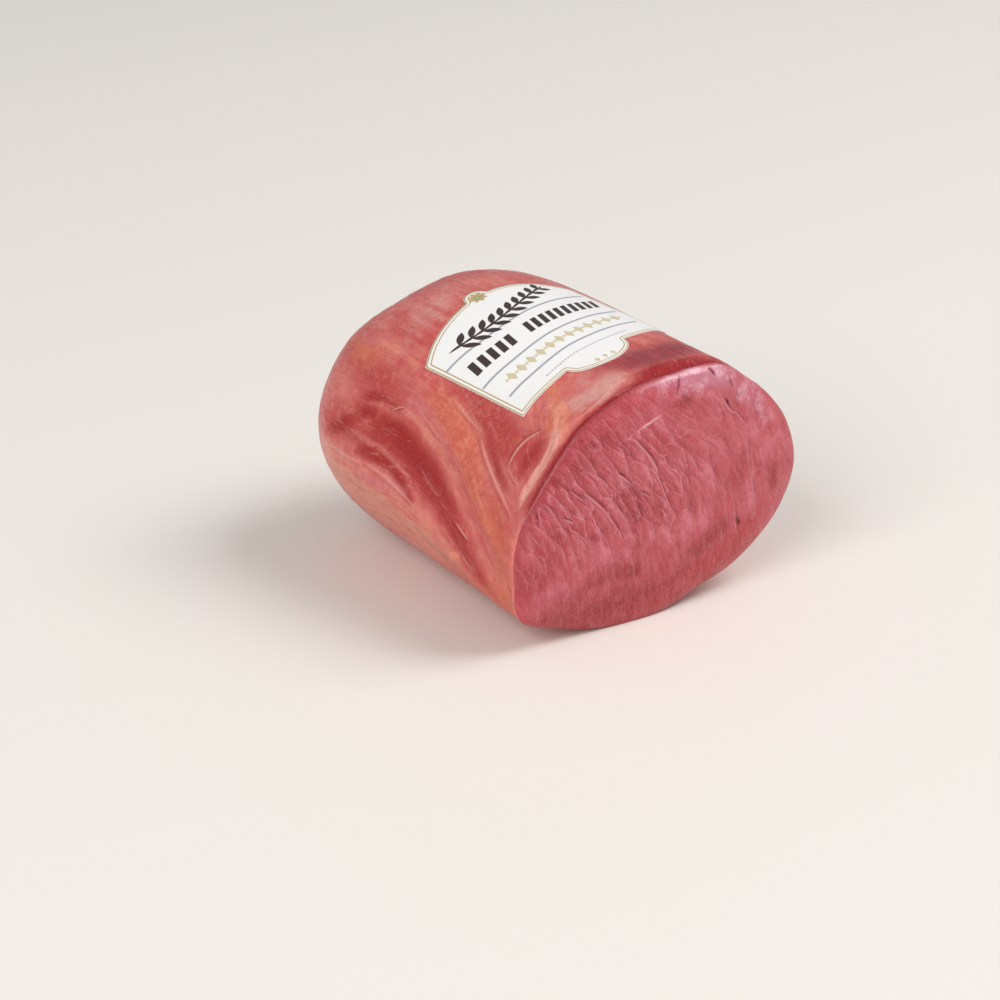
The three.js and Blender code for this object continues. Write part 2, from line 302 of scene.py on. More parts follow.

# %% [markdown]
# ## Where the meat changes colour
# The skin isn't one colour: membranes over fat are pale and pinkish, bare lean is deep red, smoke has
# browned the ridges to orange, and the crease along the cut is painted darker as shade. The cut is darker at
# its foot and along its upper left edge, which is painted shade. Under its upper edge a pale film is a
# painted sheen. Painting this by hand or with an image would tie the look to one mesh. Here each tone has a
# list of strokes, and the strongest of them is stored on the points.

# %% Tones of the skin: (half width in mm, path)
TONES = {
    "deep": (
        (14, ((147, 60, 0.6), (148, 40, 1), (152, 26, 1), (154, 12, 0.7))),
        (12, ((152, 112, 0.5), (154, 96, 0.9), (156, 84, 0.6))),
        (13, ((170, 116, 0.7), (167, 100, 1), (169, 84, 1), (171, 68, 1), (176, 56, 0.8))),
        (8, ((184, 44, 0.9), (190, 35, 1), (197, 27, 0.9), (203, 19, 0.7))),
        (9, ((104, 24, 0.5), (96, 14, 0.7), (84, 12, 0.9), (72, 14, 0.9), (64, 18, 0.4))),
        (9, ((134, 110, 0.7), (136, 100, 0.5))),
        (7, ((129, 122, 0.6), (131, 114, 0.4))),
        (10, ((177, 136, 0.4), (173, 125, 0.7), (171, 116, 0.6))),
    ),
    "dusky": (
        (26, ((34, 6, 0.9), (38, 40, 0.8), (46, 84, 0.5))),
        (16, ((62, 40, 0.5), (58, 100, 0.5), (84, 126, 0.5), (110, 134, 0.4))),
    ),
    "wine": (
        (15, ((105, 18, 0.4), (95, 17, 0.8), (87, 15, 1), (76, 15, 1), (64, 17, 0.9), (50, 24, 0.5))),
    ),
    "smoked": (
        (9, (
            (148, 72, 0.5), (151, 60, 0.8), (155, 52, 0.9), (160, 43, 1),
            (167, 35, 1), (174, 27, 1), (182, 17, 0.9),
        )),
        (9, ((146, 134, 0.5), (150, 120, 1), (146, 106, 0.5))),
        (4, ((148, 118, 0.5), (147.5, 109, 0.9), (147, 102, 0.3))),
        (5, ((125, 27, 0.9), (131, 18, 0.6), (138.5, 11, 0.9))),
        (12, ((200, 84, 0.5), (203, 60, 0.7), (206, 30, 0.9), (205, 6, 0.9))),
        (9, ((172, 24, 0.6), (179, 14, 1), (186, 7, 1), (192, 9, 1), (200, 6, 1))),
        (3, ((176, 107, 0.6), (176.5, 98, 0.4))),
    ),
    "lobe": (
        (20, ((190, 130, 0.9), (192, 104, 1), (193, 82, 1), (194, 62, 0.9), (197, 46, 0.5))),
        (3.4, (
            (157, 80, 0.4), (160, 73, 0.7), (162, 67, 0.7), (164, 60, 0.7),
            (167, 53, 0.6), (172, 45, 0.5), (177, 38, 0.3),
        )),
        (3.5, ((147, 60, 0.4), (150, 51, 0.5), (153, 43, 0.6), (154, 40, 0.4))),
    ),
    "dark": (
        (5, ((174, 119, 0.8), (172, 113, 1), (168.5, 108, 1), (165, 104, 1), (164, 96, 0.8))),
        (3.5, ((162.5, 108, 0.6), (160.5, 103, 1), (158.5, 98, 1), (158, 91, 0.8), (158.5, 84, 0.6))),
        (8.5, (
            (166, 90, 0.8), (166, 80, 1), (168, 73, 1), (171, 66, 1),
            (174, 58, 1), (178.5, 50, 1), (183, 43, 0.8),
        )),
        (4, ((175.5, 96, 0.7), (175, 88, 1), (175, 81, 1), (176, 75, 0.9), (179, 69, 0.9), (183, 62, 0.7))),
        (4.6, ((183, 45, 0.8), (188, 38, 0.9), (193, 32, 0.8), (199, 24, 0.7), (204, 15, 0.4))),
        (3.2, ((153, 40, 0.3), (158.5, 31.5, 0.7), (163, 25, 0.8), (167, 18, 0.6), (169, 14, 0.2))),
        (5.5, ((147, 13, 0.7), (154, 14, 0.8), (160, 14, 0.6))),
        (5, ((149, 54, 0.2), (151, 47, 0.34), (152, 40, 0.3))),
        (9, ((170, 24, 0.25), (177, 12, 0.38), (184, 6, 0.38), (194, 12, 0.3))),
    ),
    "mauve": (
        (5, ((156, 80, 0.6), (154.5, 74, 0.9), (156, 65, 0.6))),
        (4, ((183.5, 96, 0.6), (182.5, 84, 1), (181.5, 72, 0.8), (182, 66, 0.5))),
    ),
    "facet": (
        (10, ((97, 13, 0.1), (105, 9, 0.55), (115, 7, 1), (123, 8.5, 0.8), (131, 14, 0.3))),
        (7, ((110, 21, 0.2), (115, 18, 0.4))),
        (15, ((106, 116, 0.3), (121, 109, 0.6), (138, 100, 0.3))),
    ),
    "peach": (
        (3.5, ((142.5, 110, 0.7), (141.5, 105, 1), (143, 99, 0.5))),
        (2.5, ((148.5, 116, 0.5), (149, 119, 0.7))),
        (2.4, ((142.5, 92, 0.5), (143.5, 87, 0.8))),
        (2.2, ((149.5, 93, 0.6), (149, 88, 0.5))),
        (2.2, ((164.5, 112, 0.5), (164, 108, 0.9))),
        (2.2, ((152, 42, 0.5), (153, 40.5, 0.5))),
        (6, ((123, 34, 0.3), (127, 22, 0.7), (132, 13, 1.1), (138, 7, 1.1), (145, 5, 0.4))),
        (2.4, ((158, 44, 0.8), (160, 42, 0.5))),
        (2.2, ((176, 43, 0.8), (177, 41, 0.6))),
        (2.4, ((195, 35, 0.8), (196, 39, 0.9), (200, 42, 0.5))),
        (2.4, ((171.5, 29, 0.7), (173, 26, 0.5))),
    ),
    "tendon": (
        (4.2, (
            (130, 24, 0.2), (132.5, 16, 0.3), (137, 9.5, 0.3), (141, 7.5, 0.7),
            (144, 5.8, 1), (155, 5.4, 1), (164, 6, 1), (170, 6.4, 0.4),
        )),
    ),
    # Painted shade in the crease along the edge of the cut.
    "shaded crease": (
        (6.5, ((40, 1, 0.3), (60, 1.5, 0.6), (76, 3, 0.9), (87, 3.4, 1), (96, 2.6, 0.9), (104, 1.6, 0.3))),
        (4, (
            (96, 1, 0.8), (106, 0.8, 1), (124, 0.6, 1), (134, 0, 0.9),
            (150, -0.4, 1), (168, -0.4, 0.9), (175, -0.4, 0),
        )),
        (8, ((46, 1, 0.3), (60, 1.5, 0.7), (76, 2.5, 1), (90, 2.5, 0.9), (104, 2, 0.3))),
    ),
    "rim": (
        (2.4, (
            (174, 0.2, 0.2), (181, 0.4, 0.9), (190, 0.5, 1),
            (200, 0.6, 1), (214, 0.5, 0.5), (240, 0.5, 0.2),
        )),
    ),
}

# %% Tones of the cut, on paths of (mm to the right, mm up, strength)
CUT_TONES = {
    "lean_and_shade": (
        # The stroke along the foot of the cut is painted shade near the floor.
        (22, ((-50, 4, 0.8), (-10, 6, 1), (20, 10, 0.9), (34, 14, 0.5), (46, 22, 0.3))),
        (7, ((-14, 58, 0.8), (-10, 49, 0.9))),
        (6, ((0, 50, 0.6), (3, 43, 0.6))),
        (8, ((20, 25, 0.9), (34, 33, 0.7))),
        (8, ((-32, 23, 0.5), (-22, 27, 0.7), (-10, 24, 0.7))),
        (7, ((44, 62, 0.4), (38, 52, 0.5))),
        (6, ((60, 51, 0.7), (61, 43, 0.6))),
        (7, ((-49, 49, 0.6), (-44, 46, 0.5))),
        (12, ((-54, 64, 0.4), (-42, 72, 0.55), (-29, 81, 0.6), (-18, 87, 0.3))),
        (16, ((-58, 30, 0.5), (-40, 14, 0.6))),
        # Painted shade along the upper left edge, next to the seam.
        (6, ((-61, 60, 0.6), (-50, 77, 1), (-38, 90, 1), (-22, 100, 1), (-6, 104, 0.6))),
        (6, ((6, 88, 0.5), (14, 92, 0.7))),
        (5, ((33, 84, 0.5), (39, 86, 0.7))),
    ),
    "rosy": (
        (12, ((-52, 22, 0.6), (-44, 26, 0.6))),
        (13, ((4, 37, 0.7), (17, 37, 0.8), (25, 41, 0.5))),
        (6, ((48, 52, 0.7), (50, 38, 0.9), (51, 31, 0.5))),
        (8, ((-9, 71, 0.8), (-4, 64, 0.6))),
        (10, ((58, 72, 0.5), (66, 60, 0.7))),
        (9, ((-36, 40, 0.5), (-24, 34, 0.7))),
        (8, ((28, 52, 0.5), (24, 60, 0.6))),
        (9, ((30, 18, 0.5), (40, 24, 0.5))),
        (10, ((-10, 84, 0.4), (-3, 88, 0.7), (6, 80, 0.4))),
        (12, ((44, 78, 0.4), (52, 70, 0.8), (57, 58, 0.5))),
        (7, ((22, 92, 0.4), (30, 89, 0.8), (37, 83, 0.4))),
    ),
    "ruby": (
        (12, ((-40, 6, 0.3), (-8, 4, 0.6), (20, 12, 0.9), (42, 24, 1), (56, 36, 0.5))),
    ),
    # The wet film: its pale tone is a painted sheen, and its mask also makes the coat wetter.
    "film and painted sheen": (
        (9, (
            (-4, 101, 0.5), (6, 101, 0.8), (14, 99.5, 1), (30, 97, 0.95),
            (42, 91, 0.65), (50, 83, 0.6), (54, 75, 0.4),
        )),
    ),
}


# %% Painting the tones
def paint_tones(made, tones, band, across, along):
    for tone, strokes in tones.items():
        strongest = np.zeros(len(across))
        for half, path in strokes:
            strongest = np.maximum(strongest, band(path, half, across, along))
        add_attribute(made, tone, strongest)
        print("tone", tone, "covers", np.count_nonzero(strongest), "points")


# Each set of tones leaves the other surface alone, so its points are put out of reach.
FAR_AWAY = -1000.0
meat_degrees, meat_along, meat_share = meat_where.T
on_cut = meat_share < 1
paint_tones(meat, TONES, stroke, meat_degrees, np.where(on_cut, FAR_AWAY, meat_along))
paint_tones(meat, CUT_TONES, soft_band, meat_points[:, 0], np.where(on_cut, meat_points[:, 2], FAR_AWAY))
add_attribute(meat, "cut", on_cut)

# %% Painted shade in a ring just inside the edge of the cut, its strength evenly around it
EDGE_RING = (0.4, 0.3, 0.2, 0.6, 0.9, 1, 0.5, 0, 0, 0.3, 0.3, 0.2)
EDGE_RING_WIDTH = 0.07  # share of the face
near_edge = smooth_step((meat_share - 1 + EDGE_RING_WIDTH) / EDGE_RING_WIDTH)
ring = near_edge * around_circle(EDGE_RING, meat_degrees)
add_attribute(meat, "edge shade ring", np.where(on_cut, np.clip(ring, 0, 1), 0))
print("edge shade ring on", np.count_nonzero(near_edge[on_cut]), "points")

# %% [markdown]
# ## Single folds
# A few folds, thin membranes, pits and wet glints are too plain to leave to chance. Each is a bowed line,
# widest in its middle; a fold has a pale crest and a dark side. In the colour the dark side and the pits are
# painted shade, and the glints are painted highlights. A crest on the skin is pale membrane; on the cut it
# is pale membrane with painted highlight on it. For a fold the points don't store a mask but how far they
# lie beside it: that number runs evenly from point to point, so the line stays sharp on a coarser mesh.

# %% Thin membranes of the skin
# Start and end (degrees around, mm behind the cut), bow, half width, strength.
SKIN_FOLDS = (
    ((153.5, 42), (175, 6), 1.4, 0.9, 0.65),
    ((141, 14.5), (161.5, 20.5), 3.4, 0.9, 0.9),
    ((159.5, 22), (164, 12), 0.6, 0.8, 0.5),
    ((160.6, 87.5), (157.2, 80), -0.2, 0.45, 0.8),
    ((185.2, 39.8), (190, 31), 0.1, 0.6, 0.7),
    ((178.6, 121), (178.4, 90), 0.4, 0.8, 0.4),
    ((177.8, 92), (186, 56), -1.6, 0.9, 0.5),
    ((171.2, 111), (171.8, 82), 0.3, 1.5, 0.25),
    ((171.8, 88), (177.4, 65), -1.0, 1.5, 0.25),
    ((175, 59), (179.5, 49), 0.2, 0.8, 0.2),
    ((110.5, 4.6), (130, 4), -0.2, 0.7, 0.5),
    ((147, 60), (153, 41), 0.6, 0.7, 0.4),
    ((155, 74), (163, 50), 1.2, 0.7, 0.3),
    ((158, 60), (168, 38), 1.0, 0.6, 0.3),
)

# %% Folds, pits and glints of the cut
# Start and end (mm to the right, mm up), bow, half width, strength.
CUT_FOLDS = (
    ((-13, 80.5), (-0.5, 63.5), 1.2, 0.8, 0.9),
    ((-2, 66), (7.5, 45), -0.6, 0.6, 0.7),
    ((-42, 65.5), (-35.5, 59.5), 0.2, 0.6, 0.8),
    ((-36, 63.5), (-25, 52.5), 0.4, 0.8, 0.9),
    ((-26, 53.5), (-17.5, 40), 0.5, 0.6, 0.7),
    ((-31, 70), (-25, 64.5), 0.2, 0.6, 0.7),
    ((-21, 68), (-13.5, 61.5), 0.6, 0.7, 0.9),
    ((-21.5, 57), (-15.5, 47), -0.4, 0.6, 0.7),
    ((-10.5, 58.5), (-4, 54), 0.3, 0.5, 0.8),
    ((-53, 62.5), (-47, 53.5), 0.5, 0.7, 0.7),
    ((-46, 55), (-40, 51.5), 0.2, 0.6, 0.8),
    ((-41, 49.5), (-33, 41), 0.3, 0.6, 0.5),
    ((-59, 50.5), (-54, 43.5), 0.4, 0.5, 0.4),
    ((-8.5, 51), (-5.5, 43.5), 0.2, 0.5, 0.5),
    ((14, 69), (19.5, 60), 0.5, 0.6, 0.5),
    ((19, 74), (31, 64.5), 0.4, 0.5, 0.5),
    ((31, 89), (38.5, 79.5), -0.5, 0.6, 0.8),
    ((37, 82), (44.5, 73.5), 0.3, 0.5, 0.5),
    ((45.5, 69), (48, 50), -0.4, 0.5, 0.6),
    ((47.5, 53), (51.5, 34), 0.4, 0.6, 0.5),
    ((39.5, 43), (42.5, 26), -0.6, 0.7, 0.5),
)
CUT_PITS = (
    ((-56.2, 62), (-55.2, 52), 0.2, 0.6, 0.7),
    ((-18.5, 60.5), (-16.5, 56), 0.2, 0.8, 0.5),
    ((-13.8, 65.5), (-11.5, 62), 0.0, 0.7, 0.5),
    ((40.8, 35), (43.6, 29.8), 0.3, 1.2, 1.0),
    ((33.3, 87.5), (36, 83.5), 0.0, 0.9, 1.0),
    ((26.3, 101), (28.8, 97), 0.2, 0.8, 0.9),
    ((11.5, 101.5), (8, 94), 0.5, 0.7, 0.7),
    ((35.6, 97), (37.4, 90), 0.2, 0.6, 0.5),
    ((-32.8, 73), (-31.5, 70.8), 0.0, 0.6, 0.5),
    ((-3.8, 16), (-3, 8), 0.0, 0.9, 0.3),
    ((-20.5, 66), (-19, 57.5), -0.4, 0.7, 0.5),
)
CUT_GLINTS = (
    ((-12.6, 82.6), (2.4, 88.2), 0.3, 0.9, 0.75),
    ((-16, 80), (-11.5, 83.5), 0.2, 0.6, 0.6),
    ((0, 71.3), (4.5, 70), 0.1, 0.6, 0.6),
    ((-35, 72.2), (-32.5, 70.8), 0.0, 0.6, 0.6),
    ((7.5, 81.8), (10.5, 80), 0.0, 0.5, 0.5),
    ((-57.8, 60), (-56.8, 52.5), 0.2, 0.6, 0.5),
    ((-42.2, 53.3), (-40.2, 51.7), 0.0, 0.7, 0.9),
)


# %% Painting the folds, with lengths in half widths
SHADE_OFFSET = 1.3  # from a fold's crest to its dark side
OUT_OF_REACH = -4.0
ROOM_MARGIN = 2.0  # farther beside a fold than this, its room falls off


def fold_fields(folds, across, along, scale=1.0):
    """For the nearest fold of each point: place beside it, room at that place, strength.

    Both lengths are in half widths of the fold. Room is 1 at its middle, 0 at
    its ends and negative past them. The first number of a place is scaled to mm.
    """
    closeness = np.full(len(across), OUT_OF_REACH)
    beside, room, strength = closeness.copy(), closeness.copy(), np.zeros(len(across))
    for (across_0, along_0), (across_1, along_1), bow, half, fold_strength in folds:
        run_across, run_along = (across_1 - across_0) * scale, along_1 - along_0
        from_across, from_along = across - across_0 * scale, along - along_0
        length = math.hypot(run_across, run_along)
        reach = (from_across * run_across + from_along * run_along) / length**2
        belly = np.maximum(4 * reach * (1 - reach), 0)
        here = ((run_across * from_along - run_along * from_across) / length - bow * belly) / half
        past_end = np.maximum(np.abs(reach - 0.5) - 0.5, 0) * length / half
        left = np.sqrt(belly) - past_end
        close = left - np.abs(here - SHADE_OFFSET / 2)
        closer = close > closeness
        closeness = np.where(closer, close, closeness)
        beside = np.where(closer, np.clip(here, OUT_OF_REACH, -OUT_OF_REACH), beside)
        room = np.where(closer, np.minimum(left, close + ROOM_MARGIN), room)
        strength = np.where(closer, fold_strength, strength)
    return beside, np.maximum(room, OUT_OF_REACH), strength


cut_x, cut_z = meat_points[:, 0], np.where(on_cut, meat_points[:, 2], FAR_AWAY)
skin_x, skin_y = meat_degrees * MM_PER_DEGREE, np.where(on_cut, FAR_AWAY, meat_along)
skin_fold = fold_fields(SKIN_FOLDS, skin_x, skin_y, MM_PER_DEGREE)
cut_fold = fold_fields(CUT_FOLDS, cut_x, cut_z)
for field, on_skin, on_face in zip(("fold side", "fold room", "fold strength"), skin_fold, cut_fold):
    add_attribute(meat, field, np.where(on_cut, on_face, on_skin))
for field, lines in (("pit", CUT_PITS), ("glint", CUT_GLINTS)):
    beside, room, strength = fold_fields(lines, cut_x, cut_z)
    add_attribute(meat, field, strength * np.clip(room - np.abs(beside), -1, 1))
print("folds", len(SKIN_FOLDS) + len(CUT_FOLDS), "pits", len(CUT_PITS), "glints", len(CUT_GLINTS))

# %% [markdown]
# ## Where the label lies
# The label is printed paper, glued down, so it takes the bend of the meat and
# nothing else. It is flat in its own coordinates: `a` across and `b` up, both
# in mm. Its place on the skin is a rule that runs both ways: from the label
# to the skin to lay the paper, and back to tell which skin it covers.

# %% Outline of the label, in millimetres
LABEL_HALF_WIDTH = 44.7
LABEL_TAPER = 4.6
LABEL_SIDE = 54.3
LABEL_ARCH = 16.2
CREST_HALF = 5.6
CREST_UP = 5.0
TONGUE_HALF = 17.0
TONGUE_DEEP = 10.0
LABEL_LEFT = 140.7
LABEL_FRONT = 26.8
LABEL_MM_PER_DEGREE = 1.038
LABEL_LEAN = 0.127
LABEL_SKEW = 0.064
LABEL_CURL = 9.1
LABEL_CURL_WIDTH = 93.0


def lower_edge(a):
    return -TONGUE_DEEP * np.sqrt(np.clip(1 - (a / TONGUE_HALF) ** 2, 0, 1))


def upper_edge(a):
    share = a / (LABEL_HALF_WIDTH - LABEL_TAPER)
    crest = CREST_UP * np.sqrt(np.clip(1 - (a / CREST_HALF) ** 2, 0, 1))
    return LABEL_SIDE + LABEL_ARCH * (1 - share**2) + crest


def label_drift(across):
    """How far the label's rows drift back from its left edge to its right one."""
    return LABEL_SKEW * across + LABEL_CURL * (across / LABEL_CURL_WIDTH) ** 3


def label_to_skin(a, b):
    across = LABEL_HALF_WIDTH + a - LABEL_LEAN * b
    return LABEL_LEFT - across / LABEL_MM_PER_DEGREE, LABEL_FRONT + b + label_drift(across)


def skin_to_label(degrees, along):
    across = (LABEL_LEFT - degrees) * LABEL_MM_PER_DEGREE
    b = along - LABEL_FRONT - label_drift(across)
    return across - LABEL_HALF_WIDTH + LABEL_LEAN * b, b


def beyond_label(a, b):
    """About how many mm a spot is outside the label, negative inside it."""
    past_side = np.abs(a) - (LABEL_HALF_WIDTH - LABEL_TAPER * b / LABEL_SIDE)
    return np.maximum(past_side, np.maximum(lower_edge(a) - b, b - upper_edge(a)))


# %% Skin that the label leaves bare
BARE_BLEND = 2.0
bare = smooth_step(beyond_label(*skin_to_label(meat_degrees, meat_along)) / BARE_BLEND)
bare = np.where(on_cut, 0, bare)
add_attribute(meat, "bare", bare)
print("label covers", int((bare < 0.5).sum() - on_cut.sum()), "points of the skin")

# %% [markdown]
# ## The grain of the muscle
# Fibres give meat its direction. On the side they run along the piece and
# then bend down towards the lower corner of the cut; on the cut they fall to
# the right, ever more steeply. A texture can't bend by itself, so each point
# gets a straightened place: two numbers across the grain and one along it.

# %% Straightened place of each point, in mm
SIDE_BEND = 46.0  # degrees, at the cut
SIDE_BEND_END = 75.0
SIDE_BEND_POWER = 1.8
SIDE_BEND_FROM = 100.0  # degrees around
SIDE_BEND_TO = 245.0
SIDE_BEND_FADE = 40.0
CUT_LEAN = 0.12
CUT_SLANT = 0.6
CUT_SLANT_HEIGHT = 45.0
CUT_SLANT_BLEND = 8.0
CUT_SLANT_LOSS = 0.5  # share of the slant that is lost towards the right
CUT_SLANT_LOSS_END = 40.0


def side_grain(points, degrees, along):
    """The side with the bend of its fibres taken out; Y runs along them."""
    bend = SIDE_BEND * np.clip(1 - along / SIDE_BEND_END, 0, 1) ** SIDE_BEND_POWER
    past_start = smooth_step((degrees - SIDE_BEND_FROM) / SIDE_BEND_FADE)
    before_end = smooth_step((SIDE_BEND_TO - degrees) / SIDE_BEND_FADE)
    turn = np.radians(degrees - bend * past_start * before_end)
    radius = np.hypot(points[:, 0] - AXIS_X, points[:, 2] - AXIS_HEIGHT)
    return np.stack([radius * np.cos(turn), along, radius * np.sin(turn)], -1)


def cut_grain(points):
    """The cut with its slanting fibres set upright; Y runs down them."""
    x, z = points[:, 0], points[:, 2]
    slant = CUT_SLANT_BLEND * np.logaddexp(0, (z - CUT_SLANT_HEIGHT) / CUT_SLANT_BLEND)
    steeper = 1 - CUT_SLANT_LOSS * smooth_step(x / CUT_SLANT_LOSS_END)
    across = x + CUT_LEAN * z + CUT_SLANT * slant * steeper
    return np.stack([across, z, np.zeros(len(points))], -1)


grain_on_side = side_grain(meat_points, meat_degrees, meat_along)
grain = np.where(on_cut[:, None], cut_grain(meat_points), grain_on_side)
add_vectors(meat, "grain", grain)
print("grain from", grain.min(0).round(1), "to", grain.max(0).round(1))

# %% [markdown]
# ## Where the cut is crackled
# The upper left of the cut is crazed into long cells like dry leather, each a
# bundle of fibres. Lower down the bundles lie flat and only faint upright
# fibres show. A hand-painted mask could say where, but a soft ellipse in the
# plane of the cut does it with a few numbers.

# %% Mask of the crackle
CRACKLE_MIDDLE = (-20.0, 61.0)  # mm to the right, mm up
CRACKLE_REACH = (44.0, 25.0)
CRACKLE_FADE_END = 1.7  # distance from the middle, in reaches, where it ends
CRACKLE_FADE = 1.4
CRACKLE_ELSEWHERE = 0.2  # strength outside the ellipse
CRACKLE_RIM = 0.06  # share of the face at its edge over which it fades


def crackle_mask(points):
    across = (points[:, 0] - CRACKLE_MIDDLE[0]) / CRACKLE_REACH[0]
    up = (points[:, 2] - CRACKLE_MIDDLE[1]) / CRACKLE_REACH[1]
    inside = smooth_step((CRACKLE_FADE_END - np.hypot(across, up)) / CRACKLE_FADE)
    off_rim = smooth_step((1 - meat_share) / CRACKLE_RIM)
    return np.where(on_cut, CRACKLE_ELSEWHERE + (1 - CRACKLE_ELSEWHERE) * inside, 0) * off_rim


crackled = crackle_mask(meat_points)
add_attribute(meat, "crackle", crackled)
print("crackle is", round(float(crackled[on_cut].mean()), 2), "strong on average over the cut")

# %% [markdown]
# ## Relief of the bundles
# Real depth catches the light better than any bump. The cells of the crackle
# swell like pillows, the skin has long low swellings along its grain, folds
# stand up and pits sink in. It is a rule over the whole surface, so Geometry
# Nodes do it: two textures and the stored folds give a height, and each point
# moves that far along its normal. No height is added under the label, so the
# paper can lie close.

# %% Node helpers for geometry and for materials
class Nodes:
    """Adds nodes to one node tree; a socket or a plain value can feed any input."""

    def __init__(self, tree):
        self.tree = tree

    def node(self, kind, inputs=None, **settings):
        made = self.tree.nodes.new(kind)
        for name, value in settings.items():
            setattr(made, name, value)
        for name, value in (inputs or {}).items():
            self.feed(made.inputs[name], value)
        return made

    def feed(self, socket, value):
        if isinstance(value, bpy.types.NodeSocket):
            self.tree.links.new(value, socket)
        else:
            socket.default_value = value

    def math(self, operation, a, b=0.0, c=0.0):
        made = self.node("ShaderNodeMath", operation=operation)
        for socket, value in zip(made.inputs, (a, b, c)):
            self.feed(socket, value)
        return made.outputs[0]

    def plus(self, a, b):
        return self.math("ADD", a, b)

    def minus(self, a, b):
        return self.math("SUBTRACT", a, b)

    def times(self, a, b):
        return self.math("MULTIPLY", a, b)

    def times_plus(self, a, b, c):
        return self.math("MULTIPLY_ADD", a, b, c)

    def over(self, a, b):
        return self.math("DIVIDE", a, b)

    def larger(self, a, b):
        return self.math("MAXIMUM", a, b)

    def unsigned(self, a):
        return self.math("ABSOLUTE", a)

    def vector_math(self, operation, a, b):
        return self.node("ShaderNodeVectorMath", {0: a, 1: b}, operation=operation).outputs[0]

    def combine(self, x, y, z):
        return self.node("ShaderNodeCombineXYZ", {"X": x, "Y": y, "Z": z}).outputs[0]

    def split(self, vector):
        return self.node("ShaderNodeSeparateXYZ", {0: vector}).outputs

    def ramp(self, value, low, high):
        """0 at low, 1 at high, smooth between them."""
        span = {"Value": value, "From Min": low, "From Max": high}
        return self.node("ShaderNodeMapRange", span, interpolation_type="SMOOTHSTEP").outputs["Result"]

    def blend(self, factor, a, b):
        """A number between two; the Mix node keeps its numbers in sockets 2 and 3."""
        return self.node("ShaderNodeMix", {0: factor, 2: a, 3: b}).outputs[0]

    def mix(self, factor, a, b):
        """A colour between two; the Mix node keeps its colours in sockets 6 and 7."""
        return self.node("ShaderNodeMix", {0: factor, 6: a, 7: b}, data_type="RGBA").outputs[2]

    def layers(self, colour, layers):
        """Lays (ink, mask, share) layers over a colour, the last on top."""
        for ink, mask, share in layers:
            colour = self.mix(self.times(mask, share), colour, ink)
        return colour


# %% A node group with named sockets
def socket_kind(value):
    """A text names the kind; a vector or a number shows its own."""
    if isinstance(value, str):
        return "NodeSocket" + value
    return "NodeSocketVector" if isinstance(value, tuple) else "NodeSocketFloat"


def new_group(kind, name, inputs, outputs):
    """Inputs are names with their first values. Returns the group's nodes, inputs and outputs."""
    tree = bpy.data.node_groups.new(name, kind)
    for socket_name, value in inputs.items():
        socket = tree.interface.new_socket(socket_name, in_out="INPUT", socket_type=socket_kind(value))
        if not isinstance(value, str):
            socket.default_value = value
    for socket_name, value in outputs.items():
        tree.interface.new_socket(socket_name, in_out="OUTPUT", socket_type=socket_kind(value))
    nodes = Nodes(tree)
    return nodes, nodes.node("NodeGroupInput").outputs, nodes.node("NodeGroupOutput").inputs


# %% Pale crest and dark side of the folds, shared by the relief and the colour
FOLD_SPREAD = 0.9  # softness of a fold's relief, in half widths
PIT_DEPTH = 2.0  # in depths of a fold


def fold_masks(nodes, side, room, strength, spread):
    """Both masks from the stored fields; spread softens the line, in half widths."""
    masks = []
    for offset in (0.0, SHADE_OFFSET):
        away = nodes.unsigned(nodes.minus(side, offset))
        masks.append(nodes.times(nodes.ramp(nodes.minus(room, away), 0.0, spread), strength))
    return masks


# %% Cells of the bundles, shared by the relief and the colour
BUNDLE_WIDTH = 5.6
BUNDLE_LENGTH = 11.5
BUNDLE_SEED = 3.0
CELL_WANDER = (0.5, 0.4, 0.5)
CELL_WANDER_SCALE = 1.6
NOISE_MIDDLE = 0.5


def in_grain_units(nodes, grain_place, width, length):
    """The grain scaled to one unit for each width across and each length along."""
    across = nodes.over(1.0, width)
    along = nodes.over(1.0, length)
    return nodes.vector_math("MULTIPLY", grain_place, nodes.combine(across, along, across))


def grain_cells(nodes, grain_place, width, length, seed):
    scaled = in_grain_units(nodes, grain_place, width, length)
    return nodes.vector_math("ADD", scaled, nodes.combine(seed, 0.0, 0.0))


def cell_place(nodes, grain_place, width, length, seed):
    """The grain with about one bundle to a unit, and wandering edges."""
    cells = grain_cells(nodes, grain_place, width, length, seed)
    noise = nodes.node("ShaderNodeTexNoise", {"Vector": cells, "Scale": CELL_WANDER_SCALE, "Detail": 3.0})
    wander = nodes.vector_math("SUBTRACT", noise.outputs["Color"], (NOISE_MIDDLE,) * 3)
    return nodes.vector_math("ADD", cells, nodes.vector_math("MULTIPLY", wander, CELL_WANDER))


def cell_texture(nodes, place, feature, scale=1.0):
    inputs = {"Vector": place, "Scale": scale}
    return nodes.node("ShaderNodeTexVoronoi", inputs, feature=feature).outputs


def pillow(nodes, edge_distance):
    """0 in the grooves between the cells and 1 on top of them."""
    return nodes.ramp(edge_distance, 0.0, 0.4)


# %% Geometry Nodes tree of the relief, with its sizes in mm
RELIEF_SIZES = {
    "Bundle Width": BUNDLE_WIDTH, "Bundle Length": BUNDLE_LENGTH, "Bundle Depth": 0.3,
    "Swell Width": 6.0, "Swell Depth": 0.8, "Fold Depth": 0.2, "Seed": BUNDLE_SEED,
}
SWELL_STRETCH = 5.0  # length of a swelling, in its widths


def named(nodes, name, kind="FLOAT"):
    return nodes.node("GeometryNodeInputNamedAttribute", {"Name": name}, data_type=kind).outputs["Attribute"]


